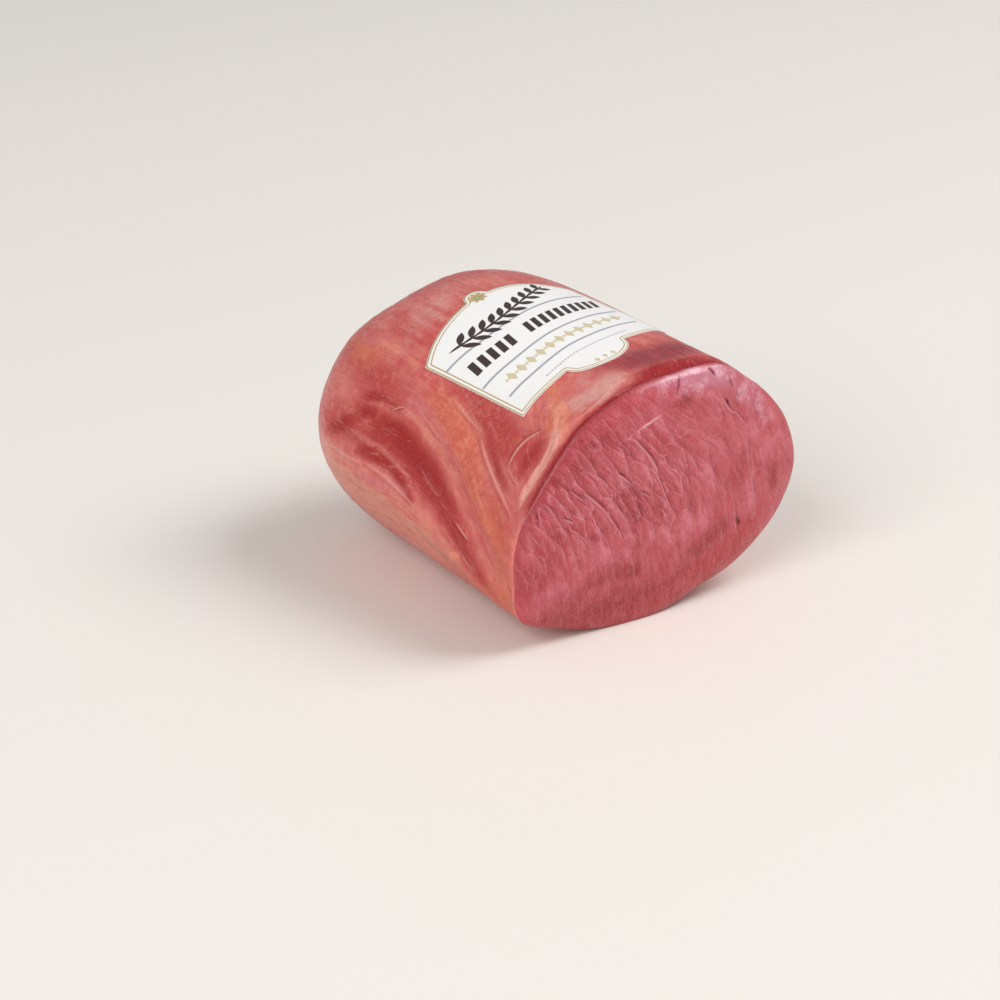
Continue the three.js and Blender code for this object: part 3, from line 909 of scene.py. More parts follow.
def bundle_height(nodes, inputs, grain_place):
    width, length = inputs["Bundle Width"], inputs["Bundle Length"]
    place = cell_place(nodes, grain_place, width, length, inputs["Seed"])
    return pillow(nodes, cell_texture(nodes, place, "DISTANCE_TO_EDGE")["Distance"])


def swell_height(nodes, inputs, grain_place):
    """Long low swellings along the grain, about -0.5 to 0.5."""
    width = inputs["Swell Width"]
    place = grain_cells(nodes, grain_place, width, nodes.times(width, SWELL_STRETCH), inputs["Seed"])
    noise = nodes.node("ShaderNodeTexNoise", {"Vector": place, "Scale": 1.0, "Detail": 3.0})
    return nodes.minus(noise.outputs["Fac"], NOISE_MIDDLE)


def relief_height(nodes, inputs):
    grain_place = named(nodes, "grain", "FLOAT_VECTOR")
    bundle = nodes.times(bundle_height(nodes, inputs, grain_place), named(nodes, "crackle"))
    swell = nodes.times(swell_height(nodes, inputs, grain_place), named(nodes, "bare"))
    height = nodes.times_plus(swell, inputs["Swell Depth"], nodes.times(bundle, inputs["Bundle Depth"]))
    fields = [named(nodes, field) for field in ("fold side", "fold room", "fold strength")]
    crest, shade = fold_masks(nodes, *fields, FOLD_SPREAD)
    pit = nodes.ramp(named(nodes, "pit"), 0.0, 0.8)
    fold = nodes.times_plus(pit, -PIT_DEPTH, nodes.minus(crest, shade))
    return nodes.times_plus(fold, inputs["Fold Depth"], height)


def relief_tree():
    nodes, inputs, outputs = new_group(
        "GeometryNodeTree", "Meat Relief",
        {"Geometry": "Geometry", **RELIEF_SIZES, "Material": "Material"}, {"Geometry": "Geometry"},
    )
    normal = nodes.node("GeometryNodeInputNormal").outputs["Normal"]
    height = nodes.times(relief_height(nodes, inputs), MM)
    offset = nodes.node("ShaderNodeVectorMath", {0: normal, "Scale": height}, operation="SCALE").outputs[0]
    moved = nodes.node("GeometryNodeSetPosition", {"Geometry": inputs["Geometry"], "Offset": offset})
    real = nodes.node("GeometryNodeRealizeInstances", {"Geometry": moved.outputs[0]})
    finish = {"Geometry": real.outputs[0], "Material": inputs["Material"]}
    dressed = nodes.node("GeometryNodeSetMaterial", finish)
    nodes.feed(outputs["Geometry"], dressed.outputs[0])
    return nodes.tree


# %% Running a tree
def apply_geometry_nodes(made, tree, values):
    """Runs a Geometry Nodes tree on an object and keeps its result as a plain mesh."""
    modifier = made.modifiers.new(tree.name, "NODES")
    modifier.node_group = tree
    for item in tree.interface.items_tree:
        if item.in_out == "INPUT" and item.name in values:
            modifier[item.identifier] = values[item.name]
    shown = made.evaluated_get(bpy.context.evaluated_depsgraph_get())
    result = bpy.data.meshes.new_from_object(shown)
    made.modifiers.clear()
    made.data = result
    print(made.name, "after", tree.name, len(result.vertices), "points")


# %% [markdown]
# ## Effects that repeat
# Four effects come back over the meat at several sizes: a mottle of
# blotches, streaks along the grain, the crackle of the bundles and small
# flecks. The mottle serves the paper too. Copying their nodes each time would
# hide what differs, so each is a node group that puts out plain masks, and a
# material places it with its own sizes.

# %% Material helpers
def srgb(red, green, blue):
    """A colour seen on screen (0 to 255) as the linear value a shader needs."""
    def linear(channel):
        c = channel / 255
        return c / 12.92 if c <= 0.04045 else ((c + 0.055) / 1.055) ** 2.4
    return (linear(red), linear(green), linear(blue), 1.0)


def use_group(nodes, group, inputs):
    return nodes.node("ShaderNodeGroup", inputs, node_tree=group).outputs


def attribute(nodes, name, output="Fac"):
    return nodes.node("ShaderNodeAttribute", attribute_name=name).outputs[output]


def place_in_mm(nodes):
    place = nodes.node("ShaderNodeTexCoord").outputs["Object"]
    return nodes.vector_math("MULTIPLY", place, (1 / MM,) * 3)


def join_masks(nodes, masks):
    joined = masks[0]
    for mask in masks[1:]:
        joined = nodes.larger(joined, mask)
    return joined


def new_material(name, values):
    """A material with one Principled shader; its own sockets take the values that hold all over."""
    material = bpy.data.materials.new(name)
    material.use_nodes = True
    material.node_tree.nodes.clear()
    nodes = Nodes(material.node_tree)
    shader = nodes.node("ShaderNodeBsdfPrincipled", values)
    nodes.node("ShaderNodeOutputMaterial", {"Surface": shader.outputs["BSDF"]})
    return material, nodes, shader


NO_VECTOR = (0.0, 0.0, 0.0)


# %% Mottle group: soft blotches of a given size in mm
def mottle_group():
    nodes, inputs, outputs = new_group(
        "ShaderNodeTree", "Mottle", {"Vector": NO_VECTOR, "Size": 8.0, "Detail": 4.0}, {"Value": "Float"},
    )
    noise = nodes.node("ShaderNodeTexNoise", {
        "Vector": inputs["Vector"], "Scale": nodes.over(1.0, inputs["Size"]),
        "Detail": inputs["Detail"], "Roughness": 0.62,
    })
    nodes.feed(outputs["Value"], nodes.ramp(noise.outputs["Fac"], 0.32, 0.68))
    return nodes.tree


MOTTLE = mottle_group()


def mottle(nodes, place, size, detail):
    return use_group(nodes, MOTTLE, {"Vector": place, "Size": size, "Detail": detail})["Value"]


# %% Streak group: strands along the grain
def streak_group():
    first_values = {"Grain": NO_VECTOR, "Length": 30.0, "Width": 3.0, "Wander": 0.5}
    nodes, inputs, outputs = new_group("ShaderNodeTree", "Grain Streaks", first_values, {"Value": "Float"})
    scaled = in_grain_units(nodes, inputs["Grain"], inputs["Width"], inputs["Length"])
    noise = nodes.node("ShaderNodeTexNoise", {
        "Vector": scaled, "Scale": 1.0, "Detail": 3.0, "Roughness": 0.6, "Distortion": inputs["Wander"],
    })
    nodes.feed(outputs["Value"], nodes.ramp(noise.outputs["Fac"], 0.3, 0.7))
    return nodes.tree


STREAKS = streak_group()


def streaks(nodes, grain_place, length, width, wander):
    inputs = {"Grain": grain_place, "Length": length, "Width": width, "Wander": wander}
    return use_group(nodes, STREAKS, inputs)["Value"]


# %% Crackle group: painted light and painted shade on the rims of long cells, their tops and a left-to-right tilt
RIM_NEAR = 0.025
RIM_FAR = 0.11


def crackle_group():
    nodes, inputs, outputs = new_group(
        "ShaderNodeTree", "Bundle Crackle",
        {"Grain": NO_VECTOR, "Length": BUNDLE_LENGTH, "Width": BUNDLE_WIDTH, "Seed": BUNDLE_SEED},
        {"Light": "Float", "Painted Shade": "Float", "Pillow": "Float", "Tilt": "Float"},
    )
    place = cell_place(nodes, inputs["Grain"], inputs["Width"], inputs["Length"], inputs["Seed"])
    distance = cell_texture(nodes, place, "DISTANCE_TO_EDGE")["Distance"]
    middle = cell_texture(nodes, place, "F1")["Position"]
    tilt = nodes.plus(nodes.split(nodes.vector_math("SUBTRACT", place, middle))[0], 0.5)
    rim = nodes.ramp(distance, RIM_FAR, RIM_NEAR)
    nodes.feed(outputs["Light"], nodes.times(rim, nodes.ramp(tilt, 0.5, 0.75)))
    nodes.feed(outputs["Painted Shade"], nodes.times(rim, nodes.ramp(tilt, 0.55, 0.3)))
    nodes.feed(outputs["Pillow"], pillow(nodes, distance))
    nodes.feed(outputs["Tilt"], tilt)
    return nodes.tree


CRACKLE = crackle_group()


# %% Fleck group: small scattered dots
def fleck_group():
    first_values = {"Vector": NO_VECTOR, "Spacing": 3.0, "Share": 0.2, "Radius": 0.15}
    nodes, inputs, outputs = new_group("ShaderNodeTree", "Flecks", first_values, {"Mask": "Float"})
    scale = nodes.over(1.0, inputs["Spacing"])
    cells = cell_texture(nodes, inputs["Vector"], "F1", scale)
    chance = nodes.node("ShaderNodeSeparateColor", {"Color": cells["Color"]}).outputs[0]
    chosen = nodes.math("LESS_THAN", chance, inputs["Share"])
    dot = nodes.minus(1.0, nodes.ramp(cells["Distance"], 0.0, inputs["Radius"]))
    nodes.feed(outputs["Mask"], nodes.times(dot, chosen))
    return nodes.tree


FLECKS = fleck_group()


def flecks(nodes, place, spacing, share, radius):
    inputs = {"Vector": place, "Spacing": spacing, "Share": share, "Radius": radius}
    return use_group(nodes, FLECKS, inputs)["Mask"]


print("groups", [group.name for group in bpy.data.node_groups])

# %% [markdown]
# ## The meat's material
# Seen close, cooked smoked meat is a moist, slightly see-through solid: light sinks in and comes out redder,
# and a thin wet film on top gives small soft highlights. A photograph laid over the mesh would carry one
# fixed light with it, so the colour is built up from masks, and the Principled shader's subsurface and coat
# give the rest. Some masks paint light in all the same: shade in the crease, along the cut's edge, at its
# foot, in its pits and on the dark sides of folds and cells, and highlights on crests and glints and as the
# film's sheen. The cut and the skin share one shader, so the edge between them stays clean.

# %% Colours of the skin: for each tone its colour, where its mask starts and fills, how much it frays
SKIN_RED = srgb(196, 74, 72)
SKIN_PINK = srgb(214, 118, 112)
SKIN_PALE = srgb(236, 168, 154)
SKIN_LINE = srgb(230, 158, 146)
SKIN_DEEP = srgb(182, 56, 56)
SKIN_DARK = srgb(160, 24, 24)
SKIN_PEACH = srgb(226, 136, 108)
TONE_LOOKS = {
    "deep": (SKIN_DEEP, 0.05, 0.9, 0.6),
    "dusky": (srgb(170, 84, 88), 0.1, 1.0, 0.8),
    "wine": (srgb(146, 48, 60), 0.05, 1.0, 0.6),
    "smoked": (srgb(206, 98, 72), 0.05, 1.1, 1.2),
    "lobe": (srgb(216, 132, 112), 0.1, 0.9, 0.7),
    "dark": (SKIN_DARK, 0.1, 1.0, 0.35),
    "mauve": (srgb(202, 104, 110), 0.1, 1.1, 0.8),
    "facet": (srgb(212, 152, 144), 0.05, 0.9, 0.6),
    "peach": (SKIN_PEACH, 0.1, 1.3, 0.9),
    "tendon": (srgb(238, 168, 154), 0.1, 0.7, 0.3),
    # Painted shade in the crease.
    "shaded crease": (srgb(152, 22, 30), 0.05, 0.9, 0.3),
    "rim": (srgb(234, 118, 110), 0.1, 0.9, 0.3),
}

# %% Colours of the cut
CUT_RED = srgb(180, 50, 60)
CUT_PINK = srgb(204, 88, 98)
# The pale colour is the cut's own in pale fibres and specks, and painted light on crests and cell rims. The
# dark one is its own in dark fibres, and painted shade in grooves and on the dark sides of folds and cells.
CUT_PALE_AND_LIT = srgb(230, 142, 154)
# Painted highlight of the glints and of the beads in the film's sheen.
CUT_GLINT = srgb(244, 188, 200)
CUT_DARK_AND_SHADED = srgb(142, 30, 40)
# Painted shade in the ring just inside the cut's edge.
CUT_EDGE_SHADE = srgb(150, 26, 36)
# Painted shade in the pits, over their real sunk relief.
CUT_PIT = srgb(120, 24, 30)
CUT_TONE_LOOKS = {
    # Darker lean patches, with painted shade at the cut's foot and along its upper left edge.
    "lean_and_shade": (srgb(158, 26, 36), 0.05, 1.0, 0.8),
    "rosy": (srgb(216, 108, 122), 0.1, 1.1, 0.9),
    "ruby": (srgb(184, 40, 46), 0.05, 1.1, 0.5),
    # A painted sheen, pale mauve, on the wet film.
    "film and painted sheen": (srgb(206, 124, 146), 0.1, 1.1, 0.5),
}


# %% Tones and folds in a material
FOLD_EDGE = 0.7  # softness of a fold's colour, in half widths
FOLD_HEIGHT = 0.6  # in the bump, where a pit goes deeper
PIT_HEIGHT = -2.0


def add_tones(nodes, colour, looks, fray):
    """Mixes each painted tone over a colour, with frayed edges."""
    for tone, (tone_colour, low, high, fray_share) in looks.items():
        frayed = nodes.times(attribute(nodes, tone), nodes.times_plus(fray, fray_share, 1.0))
        colour = nodes.mix(nodes.ramp(frayed, low, high), colour, tone_colour)
    return colour


def painted_folds(nodes):
    fields = [attribute(nodes, field) for field in ("fold side", "fold room", "fold strength")]
    return fold_masks(nodes, *fields, FOLD_EDGE)


# %% Look of the skin
def skin_look(nodes, place, grain_place):
    """Colour and height of the skin: mottle and streaks, then the painted tones and membranes."""
    broad = mottle(nodes, place, size=22.0, detail=3.0)
    blotch = mottle(nodes, place, size=7.0, detail=4.0)
    small = mottle(nodes, place, size=2.4, detail=3.0)
    tiny = mottle(nodes, place, size=0.9, detail=2.0)
    bands = streaks(nodes, grain_place, length=34.0, width=6.0, wander=0.9)
    strands = streaks(nodes, grain_place, length=20.0, width=2.6, wander=0.7)
    threads = streaks(nodes, grain_place, length=12.0, width=1.0, wander=0.4)
    colour = nodes.mix(nodes.blend(0.5, broad, bands), SKIN_RED, SKIN_PINK)
    fray = nodes.plus(nodes.times(bands, 0.5), nodes.times_plus(strands, 0.5, -0.5))
    fray = nodes.times_plus(blotch, 0.5, nodes.minus(fray, 0.25))
    colour = add_tones(nodes, colour, TONE_LOOKS, fray)
    # Fat just under the membrane shows as pale specks, but not in the dark hollows and the crease.
    hollow = nodes.larger(attribute(nodes, "dark"), attribute(nodes, "wine"))
    lean_and_shade = nodes.larger(nodes.times(hollow, 0.8), attribute(nodes, "shaded crease"))
    fatty = nodes.ramp(lean_and_shade, 0.9, 0.0)
    specks = nodes.times(nodes.ramp(small, 0.25, 1.1), nodes.ramp(strands, 0.2, 0.8))
    specks = nodes.times_plus(specks, 0.2, nodes.times(nodes.ramp(tiny, 0.5, 1.0), 0.08))
    pale_strands = nodes.times(nodes.ramp(strands, 0.55, 1.0), nodes.ramp(threads, 0.4, 1.0))
    crest, shade = painted_folds(nodes)
    colour = nodes.layers(colour, (
        (SKIN_PALE, pale_strands, 0.26),
        (SKIN_DEEP, nodes.ramp(nodes.plus(strands, bands), 0.7, 0.1), 0.25),
        (SKIN_PALE, specks, fatty),
        (SKIN_PEACH, nodes.ramp(blotch, 0.5, 1.0), nodes.times(fatty, 0.22)),
        (SKIN_DEEP, nodes.ramp(blotch, 0.5, 0.0), 0.16),
        (SKIN_DEEP, nodes.ramp(small, 0.5, 0.0), 0.14),
        (SKIN_PALE, flecks(nodes, place, spacing=3.4, share=0.14, radius=0.17), 0.25),
        # Painted shade on the dark side of each membrane fold; the crest is the membrane's own pale colour.
        (SKIN_DARK, shade, 0.35),
        (SKIN_LINE, crest, 0.8),
    ))
    height = nodes.times_plus(small, 0.3, nodes.times(threads, 0.15))
    height = nodes.times_plus(nodes.minus(crest, shade), FOLD_HEIGHT, height)
    return colour, nodes.times_plus(strands, 0.35, height)


# %% Crackle on the cut
# Each size of cell, with how strongly its tilt and its rims paint light and shade on it, and its height.
WRINKLES = {"Length": 6.5, "Width": 3.2, "Seed": 8.0}
CELL_LOOKS = (({}, 0.22, 0.6, 0.8), (WRINKLES, 0.14, 0.36, 0.45))
DARK_RIM_SHARE = 0.8


def crackle_look(nodes, colour, height, grain_place, strength):
    """Adds bundles and finer wrinkles, each cell with a painted lit side and a painted shaded side."""
    for sizes, tilt_share, rim_share, cell_height in CELL_LOOKS:
        cells = use_group(nodes, CRACKLE, {"Grain": grain_place, **sizes})
        # The tilt and the rims paint a lit side and a shaded side on each cell.
        light = nodes.times(nodes.ramp(cells["Tilt"], 0.5, 1.0), tilt_share)
        dark = nodes.times(nodes.ramp(cells["Tilt"], 0.5, 0.0), tilt_share)
        light = nodes.times_plus(cells["Light"], rim_share, light)
        dark = nodes.times_plus(cells["Painted Shade"], DARK_RIM_SHARE * rim_share, dark)
        colour = nodes.layers(colour, ((CUT_DARK_AND_SHADED, dark, strength), (CUT_PALE_AND_LIT, light, strength)))
        height = nodes.times_plus(nodes.times(cells["Pillow"], strength), cell_height, height)
    return colour, height


# %% Look of the cut
def cut_look(nodes, place, grain_place):
    """Colour and height of the cut: fibres and painted tones, then the crackle, single folds and pits."""
    broad = mottle(nodes, place, size=18.0, detail=4.0)
    patchy = mottle(nodes, place, size=8.0, detail=3.0)
    fine = mottle(nodes, place, size=1.1, detail=3.0)
    fibres = streaks(nodes, grain_place, length=22.0, width=5.0, wander=0.9)
    hairs = streaks(nodes, grain_place, length=8.0, width=1.6, wander=0.9)
    cloud = nodes.plus(nodes.times(broad, 0.3), nodes.times(fibres, 0.6))
    colour = nodes.mix(nodes.times_plus(patchy, 0.2, cloud), CUT_RED, CUT_PINK)
    fray = nodes.times_plus(fibres, 0.5, nodes.times_plus(patchy, 0.9, -0.7))
    colour = add_tones(nodes, colour, CUT_TONE_LOOKS, fray)
    colour = nodes.layers(colour, (
        (CUT_PALE_AND_LIT, nodes.ramp(hairs, 0.45, 1.0), 0.16),
        (CUT_DARK_AND_SHADED, nodes.ramp(hairs, 0.45, 0.0), 0.12),
        (CUT_PALE_AND_LIT, nodes.ramp(fine, 0.5, 1.0), 0.14),
        (CUT_PALE_AND_LIT, flecks(nodes, place, spacing=2.4, share=0.16, radius=0.15), 0.35),
    ))
    height = nodes.times_plus(fibres, 0.4, nodes.times(fine, 0.25))
    strength = nodes.times(attribute(nodes, "crackle"), nodes.blend(patchy, 0.5, 1.0))
    colour, height = crackle_look(nodes, colour, height, grain_place, strength)
    # The wet film's painted sheen is palest in patches, and breaks into beads of painted highlight there.
    film_patch = nodes.times(nodes.ramp(patchy, 0.3, 0.9), attribute(nodes, "film and painted sheen"))
    beads = nodes.times_plus(nodes.ramp(fine, 0.5, 1.0), 0.6, 0.38)
    crest, shade = painted_folds(nodes)
    pit = nodes.ramp(attribute(nodes, "pit"), 0.0, 0.9)
    # Painted shade in the edge ring, on the folds' dark sides and in the pits. Painted highlight on the
    # crests, which are partly pale membrane, and on the glints and the film's beads.
    colour = nodes.layers(colour, (
        (CUT_EDGE_SHADE, attribute(nodes, "edge shade ring"), 0.6),
        (CUT_DARK_AND_SHADED, shade, 0.6),
        (CUT_PALE_AND_LIT, crest, 0.85),
        (CUT_GLINT, nodes.ramp(attribute(nodes, "glint"), 0.0, 0.9), 1.0),
        (CUT_PIT, pit, 1.0),
        (CUT_GLINT, beads, film_patch),
    ))
    height = nodes.times_plus(nodes.minus(crest, shade), FOLD_HEIGHT, height)
    return colour, nodes.times_plus(pit, PIT_HEIGHT, height)


# %% The meat's material
MEAT_FINISH = {
    "Specular IOR Level": 0.4, "Coat Roughness": 0.18,
    "Subsurface Weight": 0.15, "Subsurface Radius": (1.0, 0.35, 0.25), "Subsurface Scale": 2 * MM,
}
MEAT_BUMP = 0.5 * MM


def meat_material():
    material, nodes, shader = new_material("moist_smoked_beef", MEAT_FINISH)
    place = place_in_mm(nodes)
    grain_place = attribute(nodes, "grain", "Vector")
    cut = attribute(nodes, "cut")
    skin_colour, skin_height = skin_look(nodes, place, grain_place)
    cut_colour, cut_height = cut_look(nodes, place, grain_place)
    nodes.feed(shader.inputs["Base Color"], nodes.mix(cut, skin_colour, cut_colour))
    height = nodes.blend(cut, skin_height, cut_height)
    bump = nodes.node("ShaderNodeBump", {"Strength": 1.0, "Distance": MEAT_BUMP, "Height": height})
    nodes.feed(shader.inputs["Normal"], bump.outputs["Normal"])
    # Damp patches are glossier, the film is wettest, and the crease stays dull.
    damp = mottle(nodes, place, size=9.0, detail=4.0)
    dull = nodes.times(attribute(nodes, "shaded crease"), 0.8)
    nodes.feed(shader.inputs["Roughness"], nodes.larger(nodes.blend(damp, 0.38, 0.5), dull))
    wet = nodes.larger(nodes.blend(damp, 0.4, 0.15), nodes.times(attribute(nodes, "film and painted sheen"), 0.8))
    off_crease = nodes.minus(1.0, nodes.ramp(attribute(nodes, "shaded crease"), 0.0, 0.6))
    nodes.feed(shader.inputs["Coat Weight"], nodes.times(wet, off_crease))
    return material


# %% Dress the meat
moist_beef = meat_material()
print("meat material", len(moist_beef.node_tree.nodes), "nodes")
apply_geometry_nodes(meat, relief_tree(), {**RELIEF_SIZES, "Material": moist_beef})
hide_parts("beef")
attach(meat, "root")

# %% [markdown]
# ## The paper label
# Now the paper itself. Cloth simulation or a shrinkwrap could drape it, but
# it is stuck flat, so a grid between its lower and upper edges is simply laid
# on the skin by the rule above, and given the thickness of stiff paper.

# %% Two faces of the sheet
LABEL_GAP = 0.06
LABEL_THICKNESS = 0.3
LABEL_COLUMNS = 144
LABEL_ROWS = 72


def label_grid():
    """The sheet's own coordinates, as rows of a and b."""
    share = np.linspace(-1, 1, LABEL_COLUMNS + 1)
    low = lower_edge(share * LABEL_HALF_WIDTH)
    high = upper_edge(share * (LABEL_HALF_WIDTH - LABEL_TAPER))
    b = low + (high - low) * np.linspace(0, 1, LABEL_ROWS + 1)[:, None]
    return share * (LABEL_HALF_WIDTH - LABEL_TAPER * b / LABEL_SIDE), b


def label_sheet(a, b, lift):
    degrees, along = label_to_skin(a, b)
    return point_at(degrees, along, skin_radius(degrees, along) * end_share(along) + lift).reshape(-1, 3)


# %% One closed sheet
def label_rim(columns):
    """Numbers of the sheet's outer points, anticlockwise."""
    rim = list(range(columns))
    rim += [j * columns + LABEL_COLUMNS for j in range(1, LABEL_ROWS + 1)]
    rim += [LABEL_ROWS * columns + i for i in range(LABEL_COLUMNS - 1, -1, -1)]
    rim += [j * columns for j in range(LABEL_ROWS - 1, 0, -1)]
    return rim


def build_label_mesh():
    """Returns points in mm, faces, and each point's place on the flat label."""
    a, b = label_grid()
    under = label_sheet(a, b, LABEL_GAP)
    over = label_sheet(a, b, LABEL_GAP + LABEL_THICKNESS)
    columns = LABEL_COLUMNS + 1
    top = len(under)
    quads = []
    for j in range(LABEL_ROWS):
        for i in range(LABEL_COLUMNS):
            corner = j * columns + i
            below = (corner, corner + 1, corner + columns + 1, corner + columns)
            quads.append(tuple(top + k for k in below))
            quads.append(below[::-1])
    rim = label_rim(columns)
    for here, there in zip(rim, rim[1:] + rim[:1]):
        quads.append((here, there, top + there, top + here))
    flat = np.stack([a.ravel(), b.ravel()], -1)
    return np.concatenate([under, over]), quads, np.concatenate([flat, flat])


def outline_distance(flat):
    """How far each point of the label is from its outline, in mm."""
    rim = flat[label_rim(LABEL_COLUMNS + 1)]
    nearest = np.full(len(flat), np.inf)
    for origin, step in zip(rim, np.roll(rim, -1, 0) - rim):
        t = np.clip((flat - origin) @ step / max(step @ step, 1e-9), 0, 1)
        nearest = np.minimum(nearest, np.linalg.norm(flat - origin - t[:, None] * step, axis=1))
    return nearest


label_points, label_quads, label_flat = build_label_mesh()
label = make_object("paper_label", label_points, label_quads)
add_vectors(label, "print place", np.column_stack([label_flat, np.zeros(len(label_flat))]))
add_attribute(label, "inset", outline_distance(label_flat))
print("label", len(label_points), "points")

# %% [markdown]
# ## The print
# The print is plain: a double gold line inside the edge, thin grey rules, a
# bold dark band, a gold band, a dark sprig under the arch and small gold
# ornaments. None of it is lettering. It could be cut out as thin meshes, but
# ink has no thickness. So each shape is a mask made by shader maths in the
# label's own millimetres, and its edges stay sharp at any size.

# %% Print row group: one motif repeated along a row
EDGE_BLUR = 0.12


def inside(nodes, distance):
    """1 where a signed distance in mm is negative, with a slightly soft edge."""
    return nodes.minus(1.0, nodes.ramp(distance, -EDGE_BLUR, EDGE_BLUR))


def row_group():
    nodes, inputs, outputs = new_group(
        "ShaderNodeTree", "Print Row",
        {"Place": NO_VECTOR, "From": -30.0, "To": 30.0, "Middle": 20.0, "Height": 4.0,
         "Pitch": 5.0, "Width": 3.0, "Slant": 0.0, "Point": 0.0},
        {"Mask": "Float"},
    )
    across, height, _ = nodes.split(inputs["Place"])
    up = nodes.minus(height, inputs["Middle"])
    slid = nodes.times_plus(up, nodes.times(inputs["Slant"], -1.0), across)
    cell = nodes.over(nodes.minus(slid, inputs["From"]), inputs["Pitch"])
    in_cell = nodes.times(nodes.minus(nodes.math("FRACT", cell), 0.5), inputs["Pitch"])
    half_height = nodes.times(inputs["Height"], 0.5)
    # With Point at 1 the motif narrows to a tip at its top and its bottom.
    tall = nodes.over(nodes.unsigned(up), half_height)
    narrowed = nodes.minus(1.0, nodes.times(tall, inputs["Point"]))
    half_width = nodes.times(nodes.times(inputs["Width"], 0.5), narrowed)
    past_side = nodes.minus(nodes.unsigned(in_cell), half_width)
    past_top = nodes.minus(nodes.unsigned(up), half_height)
    past_ends = nodes.larger(nodes.minus(inputs["From"], slid), nodes.minus(slid, inputs["To"]))
    past = nodes.larger(nodes.larger(past_side, past_top), past_ends)
    nodes.feed(outputs["Mask"], inside(nodes, past))
    return nodes.tree


ROW = row_group()


# %% Leaf group: a pointed oval at a place, turned by an angle
def leaf_group():
    nodes, inputs, outputs = new_group(
        "ShaderNodeTree", "Printed Leaf",
        {"Place": NO_VECTOR, "Middle": NO_VECTOR, "Turn": 0.0, "Length": 6.0, "Width": 2.4},
        {"Mask": "Float"},
    )
    moved = nodes.vector_math("SUBTRACT", inputs["Place"], inputs["Middle"])
    back = {"Vector": moved, "Angle": nodes.times(inputs["Turn"], -1.0)}
    turned = nodes.node("ShaderNodeVectorRotate", back, rotation_type="Z_AXIS").outputs[0]
    along, across, _ = nodes.split(turned)
    reach = nodes.over(along, nodes.times(inputs["Length"], 0.5))
    belly = nodes.minus(1.0, nodes.times(reach, reach))
    half_width = nodes.times(nodes.times(inputs["Width"], 0.5), belly)
    nodes.feed(outputs["Mask"], inside(nodes, nodes.minus(nodes.unsigned(across), half_width)))
    return nodes.tree


LEAF = leaf_group()

# %% Inks and the rows of the print, in label millimetres
PAPER_WHITE = srgb(242, 240, 238)
INK_GOLD = srgb(186, 162, 112)
INK_PALE_GOLD = srgb(206, 192, 152)
INK_GREEN = srgb(150, 158, 104)
INK_DARK = srgb(62, 50, 46)
INK_GREY = srgb(148, 146, 158)
BORDER_INSETS = (0.5, 1.9)
BORDER_WIDTH = 0.55

# A rule is one motif that is longer than its row.
RULE = {"Height": 1.1, "Pitch": 200.0, "Width": 200.0}
RULES = (
    {**RULE, "From": -39.0, "To": 37.0, "Middle": 44.5},
    {**RULE, "From": -40.0, "To": 38.0, "Middle": 24.5},
    {**RULE, "From": -39.0, "To": 37.0, "Middle": 11.5},
)
BAR = {"Middle": 34.5, "Height": 7.6, "Slant": 0.25}
BARS = (
    {**BAR, "From": -36.0, "To": -12.0, "Pitch": 4.8, "Width": 3.1},
    {**BAR, "From": -6.0, "To": 36.0, "Pitch": 4.2, "Width": 2.7},
)
CHAIN = {"Middle": 18.0, "Pitch": 5.5, "Point": 1.0}
DIAMONDS = (
    {**CHAIN, "From": -33.0, "To": 33.0, "Height": 6.4, "Width": 4.0},
    {**CHAIN, "From": -35.75, "To": 35.75, "Height": 2.0, "Width": 2.0},
    {"From": -6.9, "To": 6.9, "Middle": -5.5, "Height": 3.4, "Pitch": 4.6, "Width": 2.6, "Point": 1.0},
)
DOTS = ({"From": -24.0, "To": 24.0, "Middle": 5.4, "Height": 0.9, "Pitch": 1.6, "Width": 1.0},)


def row_mask(nodes, place, rows):
    return join_masks(nodes, [use_group(nodes, ROW, {"Place": place, **row})["Mask"] for row in rows])


def border_mask(nodes, inset):
    lines = []
    for line in BORDER_INSETS:
        beside = nodes.unsigned(nodes.minus(inset, line))
        lines.append(inside(nodes, nodes.minus(beside, BORDER_WIDTH / 2)))
    return join_masks(nodes, lines)


# %% Sprig and rosette
SPRIG_START = (-27.0, 50.0)
SPRIG_END = (22.0, 57.5)
SPRIG_SAG = 4.0
SPRIG_LEAVES = 9
STEM_STROKE = (10.0, 1.5)  # length and width
LEAF_TURN = 0.85
LEAF_REACH = (4.6, 0.14)  # from the stem to a leaf's middle, and what each leaf is shorter by
LEAF_LENGTH = (8.4, 0.26)
LEAF_WIDTH = 3.0
ROSETTE_MIDDLE = (0.0, 69.5)
PETAL_LENGTH = 1.7  # in reaches of its middle
PETAL_WIDTH = 0.9


def sprig_point(t):
    """A point of the sprig's stem, and the stem's direction there."""
    run = SPRIG_END[0] - SPRIG_START[0]
    rise = SPRIG_END[1] - SPRIG_START[1]
    a = SPRIG_START[0] + run * t
    b = SPRIG_START[1] + rise * t - SPRIG_SAG * math.sin(math.pi * t)
    return a, b, math.atan2(rise - SPRIG_SAG * math.pi * math.cos(math.pi * t), run)


def leaf_mask(nodes, place, a, b, turn, length, width):
    leaf = {"Place": place, "Middle": (a, b, 0.0), "Turn": turn, "Length": length, "Width": width}
    return use_group(nodes, LEAF, leaf)["Mask"]


